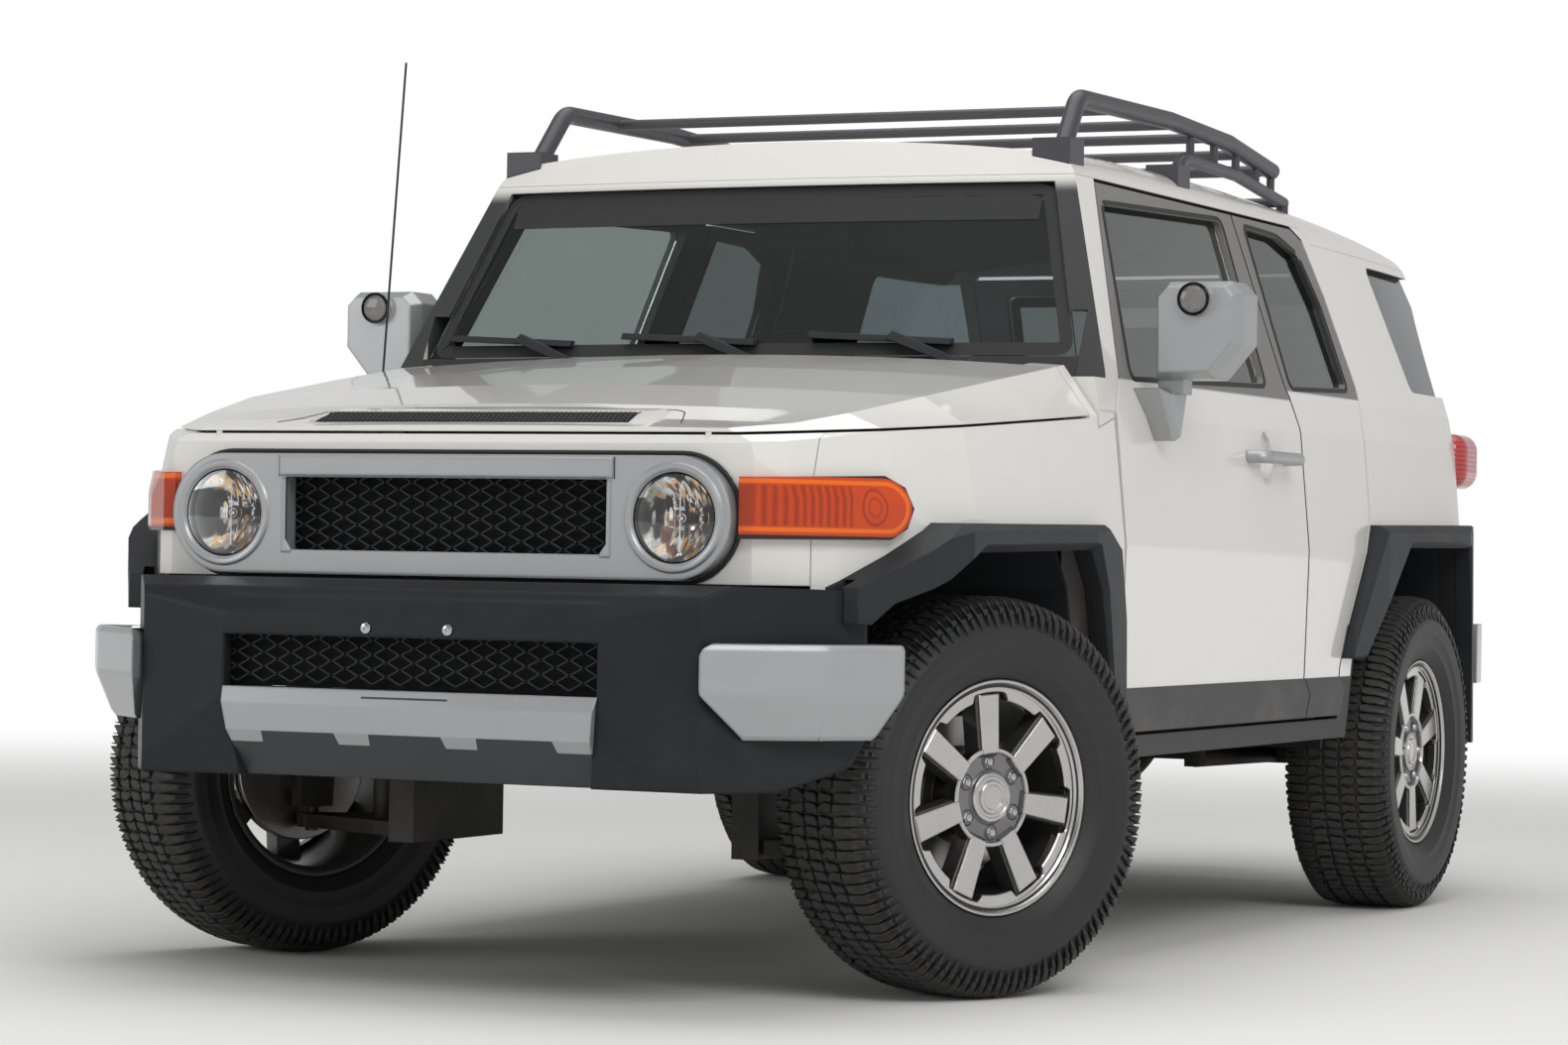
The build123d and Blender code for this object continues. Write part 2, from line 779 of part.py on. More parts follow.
front_panel = less(
    common(front_shell, block(-FENDER_INNER + 1, FENDER_INNER - 1, -720, PANEL_END, 808, 1300)),
    hood_cut,
    oblong(OVAL_HALF_LENGTH - 12, OVAL_HALF_HEIGHT - 12, st(-760), st(-600), OVAL_Z),
)
BUFFER_X = 540.0
buffers = []
for x in (-BUFFER_X, BUFFER_X):
    with BuildPart() as buffer:
        with BuildSketch(Plane.XY.offset(1060)):
            with Locations((x, st(GRILLE_STATION + 11))):
                Circle(6)
        extrude(amount=1200 - 1060)
    buffers.append(less(buffer.part, hood_zone))
save(joined(front_panel, *buffers), "front_panel")

surround_back = st(GRILLE_STATION) - SEAT
mesh_hole = front_prism(
    [
        (-MESH_HALF_LENGTH, OVAL_Z - MESH_HALF_HEIGHT),
        (MESH_HALF_LENGTH, OVAL_Z - MESH_HALF_HEIGHT),
        (MESH_HALF_LENGTH, OVAL_Z + MESH_HALF_HEIGHT),
        (-MESH_HALF_LENGTH, OVAL_Z + MESH_HALF_HEIGHT),
    ],
    st(-800),
    st(-600),
)
lamp_hole = round_bar_y(HEADLAMP_X, st(-800), st(-600), OVAL_Z, HEADLAMP_RADIUS + SEAT)
surround = less(
    oblong(OVAL_HALF_LENGTH, OVAL_HALF_HEIGHT, surround_back - SURROUND_DEPTH, surround_back, OVAL_Z),
    mesh_hole,
    lamp_hole,
    mirrored(lamp_hole),
)
save(surround, "grille_surround")
mesh_plate = front_prism(
    [
        (-MESH_HALF_LENGTH - 20, OVAL_Z - MESH_HALF_HEIGHT - 20),
        (MESH_HALF_LENGTH + 20, OVAL_Z - MESH_HALF_HEIGHT - 20),
        (MESH_HALF_LENGTH + 20, OVAL_Z + MESH_HALF_HEIGHT + 20),
        (-MESH_HALF_LENGTH - 20, OVAL_Z + MESH_HALF_HEIGHT + 20),
    ],
    surround_back + SEAT,
    surround_back + SEAT + 10,
)
headlamp = round_bar_y(HEADLAMP_X, surround_back - SURROUND_DEPTH + 8, st(-600), OVAL_Z, HEADLAMP_RADIUS)
save(joined(headlamp, mirrored(headlamp)), "headlamps")

# Turn lamp outline from the side, and its inner end in plan
TURN_LAMP = (
    (-760, 893), (-480, 897), (-441, 918), (-425, 957), (-441, 997), (-480, 1018), (-760, 1008),
)
TURN_LAMP_INNER = 620.0
TURN_LAMP_PROUD = 20.0
amber = less(
    common(front_solid(-TURN_LAMP_PROUD), side_prism(side_points(TURN_LAMP), TURN_LAMP_INNER, BIG)),
    front_solid(0),
)
save(joined(amber, mirrored(amber)), "turn_lamps")

# Front bumper
# half width and station in plan: the outer face, the face against the body, and the hollow behind
BUMPER_OUTER = ((404, -858), (605, -836), (680, -735), (765, -610), (806, -530))
BUMPER_INNER = ((788, -522), (766, -560), (706, -642), (642, -698))
BUMPER_CAVITY = ((400, -830), (585, -808), (655, -722), (736, -606), (790, -480))
BUMPER_EDGE = BUMPER_OUTER + BUMPER_INNER
BUMPER_PLAN = BUMPER_EDGE + tuple((-x, s) for x, s in reversed(BUMPER_EDGE))
BUMPER_SIDE = (
    (-862, 600), (-858, 735), (-824, 788), (-780, 806), (-560, 800), (-480, 770), (-480, 600),
    (-560, 470), (-700, 424), (-830, 424),
)
BUMPER_HOLLOW = BUMPER_CAVITY + tuple((-x, s) for x, s in reversed(BUMPER_CAVITY))
TRIM_BACK = -790.0
TRIM_X = 408.0
TRIM_LOW_X = 380.0
OPENING_X = 407.0
OPENING_LOW_Z = 596.0
OPENING_HIGH_Z = 696.0
SCREW_X = 89.0
SCREW_Z = 713.0
SCREW_RADIUS = 3.25
SCREW_DEPTH = 20.0


def trim_zone(clearance):
    """Room for the silver centre bar, wider at its top."""
    low = TRIM_LOW_X - clearance
    high = TRIM_X - clearance
    top = OPENING_LOW_Z - SEAT
    return front_prism([(-low, 400), (low, 400), (high, top), (-high, top)], st(-900), st(TRIM_BACK))


bumper_opening = front_prism(
    [
        (-OPENING_X, OPENING_LOW_Z), (OPENING_X, OPENING_LOW_Z),
        (OPENING_X, OPENING_HIGH_Z), (-OPENING_X, OPENING_HIGH_Z),
    ],
    st(-900),
    st(-600),
)
bumper_body = common(
    plan_prism([(x, st(s)) for x, s in BUMPER_PLAN], 400, 820), side_prism(side_points(BUMPER_SIDE), -BIG, BIG)
)
bumper_hollow = less(
    plan_prism([(x, st(s)) for x, s in BUMPER_HOLLOW], 380, 774),
    block(-TRIM_X - 20, TRIM_X + 20, -850, TRIM_BACK + 12, 380, OPENING_LOW_Z - 4),
)
screw_holes = [round_bar_y(side * SCREW_X, st(-870), st(-858 + SCREW_DEPTH), SCREW_Z, SCREW_RADIUS) for side in (-1, 1)]
bumper = less(bumper_body, bumper_opening, trim_zone(0), bumper_hollow, *screw_holes)
bumper = bumper.solids().sort_by(SortBy.VOLUME)[-1]
save(bumper, "front_bumper")
TRIM_SIDE = ((-858, 596), (-870, 566), (-862, 512), (-800, 425), (TRIM_BACK - SEAT, 425), (TRIM_BACK - SEAT, 596))
centre_bar = common(side_prism(side_points(TRIM_SIDE), -TRIM_X, TRIM_X), trim_zone(SEAT))
CORNER_PLAN = (
    (617, -858), (804, -702), (901, -568), (884, -546), (790, -560), (740, -620), (668, -735), (612, -815),
)
CORNER_FRONT = ((617, 606), (617, 690), (640, 701), (960, 701), (960, 520), (690, 520))
CORNER_SIDE = ((-880, 500), (-880, 720), (-600, 701), (-546, 694), (-546, 600), (-610, 500))
corner_piece = less(
    common(
        plan_prism([(x, st(s)) for x, s in CORNER_PLAN], 520, 701),
        front_prism(CORNER_FRONT, st(-900), st(-540)),
        side_prism(side_points(CORNER_SIDE), 600, BIG),
    ),
    plan_prism([(x, st(s)) for x, s in BUMPER_PLAN], 400, 820),
)
corner_piece = corner_piece.solids().sort_by(SortBy.VOLUME)[-1]
mesh_low = front_prism([(-430, 602), (430, 602), (430, 712), (-430, 712)], st(-830) + SEAT, st(-830) + 8)
mesh_low = less(mesh_low, bumper)
save(joined(mesh_plate, mesh_low), "grille_meshes")

# Flares: angular dark arches over each wheel
FRONT_FLARE = (
    (-584, 737), (-584, 806), (-352, 932), (400, 940), (500, 890), (546, 740), (558, 500), (472, 500),
    (455, 601), (392, 806), (326, 887), (-282, 876), (-519, 777), (-560, 737),
)
REAR_FLARE = (
    (2058, 642), (2285, 967), (3090, 978), (3110, 960), (3205, 405), (3140, 405), (3128, 640),
    (3072, 918), (2495, 913), (2165, 639),
)
FLARE_PLAN = (
    (700, -672), (745, -672), (829, -559), (905, -450), (946, -350), (946, 300), (918, 560), (918, 1900),
    (946, 2300), (946, 3000), (890, 3260), (700, 3260),
)
FLARE_FRONT_INNER = 730.0
FLARE_FRONT_END = -300.0
FLARE_INNER = 842.0
FLARE_EDGE = 922.0
FLARE_OUTER = 946.0
FLARE_BEVEL = 16.0
flare_plan = plan_prism([(x, st(s)) for x, s in FLARE_PLAN], 300, 1100)
front_flare = less(
    common(bevelled(side_points(FRONT_FLARE), FLARE_FRONT_INNER, FLARE_EDGE, FLARE_OUTER, FLARE_BEVEL), flare_plan),
    block(0, FLARE_INNER, FLARE_FRONT_END, 800, 300, 1200),
    front_outer,
    front_solid(-SEAT),
    cab_outer,
    plan_prism([(x, st(s)) for x, s in BUMPER_PLAN], 400, 820),
    block(0, BIG, DOOR_FRONT - PANEL_GAP - 4, 800, 300, 1200),
)
front_flare = front_flare.solids().sort_by(SortBy.VOLUME)[-1]
rear_flare = less(
    common(bevelled(side_points(REAR_FLARE), FLARE_INNER, FLARE_EDGE, FLARE_OUTER, FLARE_BEVEL), flare_plan),
    cab_outer,
    rear_door_cut,
)
rear_flare = rear_flare.solids().sort_by(SortBy.VOLUME)[-1]
save(joined(front_flare, mirrored(front_flare), rear_flare, mirrored(rear_flare)), "flares")

# Wheels, made once round the X axis with the outer face towards +X
with BuildPart() as tyre_blank:
    with BuildSketch(Plane.XY):
        with BuildLine():
            Polyline(
                (-RIM_HALF_WIDTH + 4, BEAD_RADIUS + SEAT),
                (RIM_HALF_WIDTH - 4, BEAD_RADIUS + SEAT),
                (RIM_HALF_WIDTH - 4, FLANGE_RADIUS + SEAT),
                (RIM_HALF_WIDTH + 2, FLANGE_RADIUS + 6),
                (TYRE_WIDTH / 2 - 8, FLANGE_RADIUS + 40),
                (TYRE_WIDTH / 2, 330),
                (TYRE_WIDTH / 2 - 4, 364),
                (TYRE_WIDTH / 2 - 22, TYRE_RADIUS - 6),
                (TYRE_WIDTH / 2 - 50, TYRE_RADIUS),
                (-TYRE_WIDTH / 2 + 50, TYRE_RADIUS),
                (-TYRE_WIDTH / 2 + 22, TYRE_RADIUS - 6),
                (-TYRE_WIDTH / 2 + 4, 364),
                (-TYRE_WIDTH / 2, 330),
                (-TYRE_WIDTH / 2 + 8, FLANGE_RADIUS + 40),
                (-RIM_HALF_WIDTH - 2, FLANGE_RADIUS + 6),
                (-RIM_HALF_WIDTH + 4, FLANGE_RADIUS + SEAT),
                close=True,
            )
        make_face()
    revolve(axis=Axis.X)

BARREL_RADIUS = BEAD_RADIUS - 4.0
with BuildPart() as rim_blank:
    with BuildSketch(Plane.XY):
        with BuildLine():
            Polyline(
                (-RIM_HALF_WIDTH + 4 - SEAT - 6, BEAD_RADIUS - RIM_WALL),
                (RIM_HALF_WIDTH - 4 + SEAT + 6, BEAD_RADIUS - RIM_WALL),
                (RIM_HALF_WIDTH - 4 + SEAT + 6, FLANGE_RADIUS),
                (RIM_HALF_WIDTH - 4 + SEAT, FLANGE_RADIUS),
                (RIM_HALF_WIDTH - 4 + SEAT, BEAD_RADIUS),
                (-RIM_HALF_WIDTH + 4 - SEAT, BEAD_RADIUS),
                (-RIM_HALF_WIDTH + 4 - SEAT, FLANGE_RADIUS),
                (-RIM_HALF_WIDTH + 4 - SEAT - 6, FLANGE_RADIUS),
                close=True,
            )
        make_face()
    revolve(axis=Axis.X)
    with BuildSketch(Plane.YZ.offset(SPOKE_FACE - SPOKE_DEPTH)):
        with PolarLocations(0, SPOKE_COUNT):
            Polygon((HUB_RADIUS - 12, -24), (BEAD_RADIUS - 6, -36), (BEAD_RADIUS - 6, 36), (HUB_RADIUS - 12, 24), align=None)
    extrude(amount=SPOKE_DEPTH)
    with BuildSketch(Plane.YZ.offset(HUB_BACK)):
        Circle(HUB_RADIUS)
    extrude(amount=SPOKE_FACE - HUB_BACK - 14)
    with BuildSketch(Plane.YZ.offset(DISC_OUTER)):
        Circle(HUB_RADIUS + 6)
    extrude(amount=HUB_BACK - DISC_OUTER)
    with BuildSketch(Plane.YZ.offset(DISC_OUTER - DISC_THICKNESS)):
        Circle(DISC_RADIUS)
    extrude(amount=DISC_THICKNESS)
    with BuildSketch(Plane.YZ.offset(DISC_OUTER - DISC_THICKNESS)):
        Circle(SPINDLE_RADIUS + SPINDLE_RUN)
    extrude(amount=SPINDLE_END - DISC_OUTER + DISC_THICKNESS + SPINDLE_RUN, mode=Mode.SUBTRACT)
    with BuildSketch(Plane.YZ.offset(SPOKE_FACE)):
        with PolarLocations(LUG_CIRCLE / 2, LUG_COUNT):
            Circle(12)
    extrude(amount=-30, mode=Mode.SUBTRACT)


def placed(part, x, y, z, turn):
    with BuildPart() as there:
        with Locations(Location((x, y, z), (0, 0, turn))):
            add(part)
    return there.part


steer = radians(STEER_REST)
# corner, side sign, wheel centre x, wheel centre y, turn
WHEELS = (
    ("front_left", 1, KINGPIN_X + KINGPIN_OFFSET * cos(steer), FRONT_AXLE + KINGPIN_OFFSET * sin(steer), STEER_REST),
    ("front_right", -1, -KINGPIN_X - KINGPIN_OFFSET * cos(steer), FRONT_AXLE - KINGPIN_OFFSET * sin(steer), STEER_REST + 180),
    ("rear_left", 1, TRACK / 2, REAR_AXLE, 0),
    ("rear_right", -1, -TRACK / 2, REAR_AXLE, 180),
)
for corner, side, x, y, turn in WHEELS:
    save(placed(tyre_blank.part, x, y, WHEEL_Z, turn), f"tyre_{corner}")
    save(placed(rim_blank.part, x, y, WHEEL_Z, turn), f"rim_{corner}")

# Knuckles, made round the wheel centre with the outer face towards +X
HUB_FACE = DISC_OUTER - DISC_THICKNESS - SEAT
with BuildPart() as knuckle_blank:
    with BuildSketch(Plane.YZ.offset(HUB_FACE)):
        Circle(SPINDLE_RADIUS)
    extrude(amount=SPINDLE_END - HUB_FACE)
    with BuildSketch(Plane.YZ.offset(HUB_FACE)):
        Circle(62)
    extrude(amount=-24)
    with BuildSketch(Plane.YZ.offset(HUB_FACE - 24)):
        Polygon((-40, -84), (40, -84), (46, 20), (30, 112), (-30, 112), (-46, 20), align=None)
    extrude(amount=-36)
    with BuildSketch(Plane.XY.offset(LOWER_EYE_Z[0] - 8)):
        with Locations((-KINGPIN_OFFSET, 0)):
            Circle(KINGPIN_RADIUS)
    extrude(amount=UPPER_EYE_Z[1] - LOWER_EYE_Z[0] + 16)

for corner, side, x, y, turn in WHEELS[:2]:
    save(placed(knuckle_blank.part, x, y, WHEEL_Z, turn), f"knuckle_{corner}")

# Chassis: ladder frame
RAIL_FRONT_X = 425.0
RAIL_WIDTH = 75.0
RAIL_MID_X = 560.0
RAIL_REAR_X = 520.0
RAIL_END = 3360.0
RAIL_PLAN = (
    (RAIL_FRONT_X - RAIL_WIDTH, -640), (RAIL_FRONT_X, -640), (RAIL_FRONT_X, 300), (RAIL_MID_X - 20, 700),
    (RAIL_MID_X, 2000), (RAIL_MID_X, 2200), (RAIL_REAR_X, 2400), (RAIL_REAR_X, RAIL_END),
    (RAIL_REAR_X - RAIL_WIDTH, RAIL_END), (RAIL_REAR_X - RAIL_WIDTH, 2400), (RAIL_MID_X - RAIL_WIDTH, 2200),
    (RAIL_MID_X - RAIL_WIDTH, 2000), (RAIL_MID_X - 20 - RAIL_WIDTH, 700), (RAIL_FRONT_X - RAIL_WIDTH, 300),
)
RAIL_SIDE = ((-640, 440), (-300, 440), (-120, 520), (200, 520), (420, 410), (2120, 410), (2330, 560), (3060, 560), (3360, 480), (3360, 600), (3060, 680), (2260, 680), (2080, 516), (460, 516), (260, 640), (-200, 640), (-400, 560), (-640, 560))
rail = common(
    plan_prism([(x, st(s)) for x, s in RAIL_PLAN], 300, 800), side_prism(side_points(RAIL_SIDE), 0, BIG)
)
# crossmember station, half width, low, high, depth
CROSSMEMBERS = (
    (-600, 352, 460, 540, 50),
    (330, 360, 450, 536, 60),
    (1050, 480, 420, 470, 90),
    (1790, 500, 400, 434, 60),
    (2420, 462, 600, 660, 60),
    (3300, 462, 500, 590, 60),
)
BODY_PADS = (600.0, 1180.0, 1840.0)
LOWER_ARM_TOP = WHEEL_Z + LOWER_EYE_Z[1]
STRUT_X = 545.0
STRUT_RADIUS = 42.0
STRUT_TOP_X = 598.0
STRUT_TOP_Z = 690.0
ENGINE_X = 240.0
chassis = [rail, mirrored(rail)]
for side in (-1, 1):
    chassis.append(block(side * (RAIL_FRONT_X - 60), side * RAIL_FRONT_X, -190, 190, LOWER_ARM_TOP - 40, 530))
    chassis.append(block(side * (ENGINE_X + SEAT), side * (RAIL_FRONT_X - 60), -40, 60, 575, 625))
    chassis.append(block(side * (RAIL_REAR_X - 65), side * (RAIL_REAR_X - 10), RAIL_END - 10, 3470 - SEAT, 490, 552))
    for station in BODY_PADS:
        chassis.append(block(side * 500, side * 545, station, station + 70, 500, FLOOR_Z - SEAT))
    chassis.append(block(side * (RAIL_FRONT_X - 60), side * STRUT_TOP_X, -60, 60, STRUT_TOP_Z, STRUT_TOP_Z + 16))
    chassis.append(block(side * (RAIL_FRONT_X - 60), side * (RAIL_FRONT_X - 20), -60, 60, 560, STRUT_TOP_Z + 16))
    chassis.append(bent_tube([(side * 380, st(-640), 470), (side * 380, st(-752), 470), (side * 380, st(-758), 500)], 14, 4))
for station, half, low, high, depth in CROSSMEMBERS:
    chassis.append(block(-half, half, station, station + depth, low, high))
with BuildPart() as chassis_frame:
    for piece in chassis:
        add(piece)
save(chassis_frame.part, "chassis_frame")

# Engine as one plain block, gearbox, shafts and differential
save(block(-ENGINE_X, ENGINE_X, -420, 300 + 2 - SEAT, 570, 1010), "engine_block")
DIFF_RADIUS = 150.0
driveline = joined(
    side_prism(side_points(((302, 560), (302, 800), (520, 760), (1000, 640), (1260, 620), (1260, 490), (1000, 480))), -144, 144),
    tube_between((0, st(1255), 540), (0, REAR_AXLE - DIFF_RADIUS - 1, WHEEL_Z), 38),
)
save(driveline, "driveline")

# Floor
FLOOR_FRONT = FIREWALL + FRAME_THICKNESS + 2
FLOOR_LINE = (
    (FLOOR_FRONT, FLOOR_Z), (2030, FLOOR_Z), (2215, 700), (3386, 700), (3386, 725), (2205, 725),
    (2020, FLOOR_Z + FLOOR_THICKNESS), (FLOOR_FRONT, FLOOR_Z + FLOOR_THICKNESS),
)
SILL_BOX_X = SILL_X - DOOR_THICKNESS - SEAT
floor_mid = side_prism(side_points(FLOOR_LINE), -636, 636)
floor_side = block(600, 825, FLOOR_FRONT, 2020, FLOOR_Z, FLOOR_Z + FLOOR_THICKNESS)
sill = block(780, SILL_BOX_X, FLOOR_FRONT, 2030, SILL_Z - 48, FLOOR_Z + 5)
SHAFT_TUNNEL = ((-92, FLOOR_Z - 20), (92, FLOOR_Z - 20), (74, 606), (-74, 606))
SHAFT_TUNNEL_WALL = 12.0
SHAFT_TUNNEL_END = 2034.0
floor_pieces = joined(
    tunnel_prism(0, FLOOR_FRONT, TUNNEL_END),
    front_prism(SHAFT_TUNNEL, st(TUNNEL_END - 20), st(SHAFT_TUNNEL_END)),
    floor_mid,
    floor_side,
    mirrored(floor_side),
    sill,
    mirrored(sill),
)
tunnel = less(
    floor_pieces,
    tunnel_prism(15, 0, TUNNEL_END - 15),
    front_prism(grown(SHAFT_TUNNEL, -SHAFT_TUNNEL_WALL), st(TUNNEL_END - 40), st(SHAFT_TUNNEL_END - 1)),
    block(-400, 400, 400, SHAFT_TUNNEL_END + 10, FLOOR_Z - 45, FLOOR_Z),
    front_prism(
        [(-70, FLOOR_Z - 10), (70, FLOOR_Z - 10), (68, FLOOR_Z + 14), (-68, FLOOR_Z + 14)],
        st(TUNNEL_END - 40),
        st(SHAFT_TUNNEL_END - 1),
    ),
    cab_shell,
)
tunnel = tunnel.solids().sort_by(SortBy.VOLUME)[-1]
REAR_SILL_Z = GATE_BASE_Z - PANEL_GAP
rear_sill = joined(
    block(-GATE_BASE_X + SEAT, GATE_BASE_X - SEAT, 3386, REAR_PANEL - 2, 560, REAR_SILL_Z),
    block(-500, 500, 3394, 3410, REAR_SILL_Z, GATE_BASE_Z - SEAT),
    block(-600, 600, 3340, 3388, 616, 702),
)
save(joined(tunnel, rear_sill), "floor_pan")

# Inner arches
def arch_liner(rows, x_from, x_to, wall):
    outline = side_points(rows)
    with BuildPart() as liner:
        add(side_prism(grown(outline, wall), x_from, x_to))
        add(side_prism(outline, x_from - 1, x_to + 1), mode=Mode.SUBTRACT)
        add(block(x_from - 10, x_to + 10, -900, 3900, 300, 420), mode=Mode.SUBTRACT)
    return liner.part


rear_liner = joined(
    less(arch_liner(REAR_ARCH, 650, 836, 10), cab_shell),
    less(side_prism(grown(side_points(REAR_ARCH), 10), 640, 650), block(600, 700, 1900, 3300, 300, 560)),
)
front_liner = less(
    common(arch_liner(FRONT_ARCH, 500, FLARE_INNER - SEAT, 6), front_solid(FENDER_THICKNESS + SEAT)),
    block(-BIG, BIG, FIREWALL - SEAT, 700, 300, 1500),
)
save(joined(rear_liner, mirrored(rear_liner), front_liner, mirrored(front_liner)), "arch_liners")

# Rear axle
axle_end = TRACK / 2 + HUB_FACE
spindle_tip = TRACK / 2 + SPINDLE_END
with BuildPart() as rear_axle:
    with BuildSketch(Plane(origin=(0, REAR_AXLE, WHEEL_Z), z_dir=(0, -1, 0), x_dir=(1, 0, 0))):
        with BuildLine():
            Polyline(
                (spindle_tip, 0), (spindle_tip, SPINDLE_RADIUS), (axle_end, SPINDLE_RADIUS), (axle_end, 120),
                (axle_end - 22, 120), (axle_end - 22, 42), (190, 42),
            )
            ThreePointArc((190, 42), (120, 110), (0, DIFF_RADIUS))
            mirror(about=Plane.YZ)
            Line((spindle_tip, 0), (-spindle_tip, 0))
        make_face()
    revolve(axis=Axis((0, REAR_AXLE, WHEEL_Z), (1, 0, 0)))
SPRING_X = 482.0
LINK_X = 522.0
DAMPER_X = 562.0
axle_pieces = [rear_axle.part]
for side in (-1, 1):
    for turn in range(6):
        with BuildPart() as coil:
            with Locations((side * SPRING_X, REAR_AXLE, 452 + turn * 20)):
                Torus(52, 8)
        axle_pieces.append(coil.part)
    axle_pieces.append(tube_between((side * SPRING_X, REAR_AXLE, WHEEL_Z), (side * SPRING_X, REAR_AXLE, 560 - SEAT), 46))
    axle_pieces.append(tube_between((side * SPRING_X, REAR_AXLE, 440), (side * SPRING_X, REAR_AXLE, 450), 64))
    axle_pieces.append(
        tube_between((side * LINK_X, REAR_AXLE, WHEEL_Z - 20), (side * LINK_X, st(2090), 384), 20)
    )
    axle_pieces.append(block(side * (LINK_X - 20), side * (LINK_X + 20), 2066, 2112, 366, 410 - SEAT))
    axle_pieces.append(
        tube_between((side * DAMPER_X, REAR_AXLE + 30, WHEEL_Z), (side * DAMPER_X, REAR_AXLE + 110, 640), 24)
    )
    axle_pieces.append(
        block(side * (RAIL_REAR_X + SEAT), side * (DAMPER_X + 12), 2785, 2812, 612, 640)
    )
save(joined(*axle_pieces), "rear_axle")

# Front suspension: wishbones and struts
susp = []
for side in (-1, 1):
    inner = RAIL_FRONT_X + SEAT
    for z_low, z_high in (LOWER_EYE_Z, UPPER_EYE_Z):
        with BuildPart() as arm:
            with BuildSketch(Plane.XY.offset(WHEEL_Z + z_low)):
                with BuildLine():
                    Polyline(
                        (side * KINGPIN_X, FRONT_AXLE - 28),
                        (side * KINGPIN_X, FRONT_AXLE + 28),
                        (side * inner, FRONT_AXLE + 170),
                        (side * inner, FRONT_AXLE - 170),
                        close=True,
                    )
                make_face()
                with Locations((side * KINGPIN_X, FRONT_AXLE)):
                    Circle(EYE_RADIUS)
            extrude(amount=z_high - z_low)
            with BuildSketch(Plane.XY.offset(WHEEL_Z + z_low)):
                with BuildLine():
                    Polyline(
                        (side * (KINGPIN_X - 90), FRONT_AXLE - 18),
                        (side * (KINGPIN_X - 90), FRONT_AXLE + 18),
                        (side * (inner + 30), FRONT_AXLE + 100),
                        (side * (inner + 30), FRONT_AXLE - 100),
                        close=True,
                    )
                make_face()
                with Locations((side * KINGPIN_X, FRONT_AXLE)):
                    Circle(KINGPIN_RADIUS + SPINDLE_RUN)
            extrude(amount=z_high - z_low, mode=Mode.SUBTRACT)
        susp.append(arm.part)
    foot_z = WHEEL_Z + LOWER_EYE_Z[0]
    susp.append(block(side * (STRUT_X - 50), side * (STRUT_X + 50), -80, 80, foot_z, foot_z + 24))
    susp.append(
        tube_between((side * STRUT_X, FRONT_AXLE, foot_z), (side * STRUT_X, FRONT_AXLE, STRUT_TOP_Z - SEAT), 26)
    )
    for turn in range(7):
        with BuildPart() as coil:
            with Locations((side * STRUT_X, FRONT_AXLE, 500 + turn * 26)):
                Torus(STRUT_RADIUS - 8, 8)
        susp.append(coil.part)
rack_bar = tube_between((-330, st(362), 420 - SEAT), (330, st(362), 420 - SEAT), 30)
susp.append(rack_bar)
save(joined(*susp), "front_suspension")

# Rear bumper and tail lamps
REAR_BUMPER_PLAN = (
    (-872, 3262), (-840, 3390), (-660, 3510), (660, 3510), (840, 3390), (872, 3262),
    (846, 3262), (812, 3370), (640, 3470), (-640, 3470), (-812, 3370), (-846, 3262),
)
REAR_BUMPER_SIDE = ((3250, 500), (3250, 716), (3470, 716), (3512, 700), (3512, 560), (3470, 470), (3300, 470))
REAR_CORNER_PLAN = ((640, 3512), (664, 3530), (862, 3412), (898, 3246), (872, 3246), (872, 3262), (840, 3390))
REAR_CORNER_FRONT = ((640, 600), (640, 700), (664, 716), (940, 716), (940, 560), (700, 560))
rear_band = plan_prism([(x, st(s)) for x, s in REAR_BUMPER_PLAN], 440, 760)
rear_bumper = less(
    common(rear_band, side_prism(side_points(REAR_BUMPER_SIDE), -BIG, BIG)), cab_outer, rear_sill
)
save(rear_bumper, "rear_bumper")
rear_corner = less(
    common(
        plan_prism([(x, st(s)) for x, s in REAR_CORNER_PLAN], 560, 716),
        front_prism(REAR_CORNER_FRONT, st(3200), st(3600)),
    ),
    rear_band,
    cab_outer,
    rear_flare,
)
rear_corner = rear_corner.solids().sort_by(SortBy.VOLUME)[-1]
save(
    joined(centre_bar, corner_piece, mirrored(corner_piece), rear_corner, mirrored(rear_corner)), "bumper_trims"
)
with BuildPart() as tail:
    with Locations((806, st(3262), 1150)):
        Box(130, 170, 146)
    fillet(tail.edges(), 44)
tail_lamp = less(tail.part, cab_outer)
tail_lamp = tail_lamp.solids().sort_by(SortBy.VOLUME)[-1]
save(joined(tail_lamp, mirrored(tail_lamp)), "tail_lamps")

# Spare wheel on the tailgate
SPARE_Z = 1010.0
SPARE_STATION = 3800.0 - TYRE_WIDTH / 2
for blank, name in ((tyre_blank, "tyre_spare"), (rim_blank, "rim_spare")):
    save(placed(blank.part, 0, st(SPARE_STATION), SPARE_Z, 90), name)
with BuildPart() as carrier:
    with BuildSketch(Plane.XZ.offset(-st(REAR_PANEL) - SEAT)):
        with Locations((0, SPARE_Z)):
            Circle(90)
    extrude(amount=-(SPARE_STATION + DISC_OUTER - DISC_THICKNESS - REAR_PANEL - 2 * SEAT))
save(carrier.part, "spare_carrier")

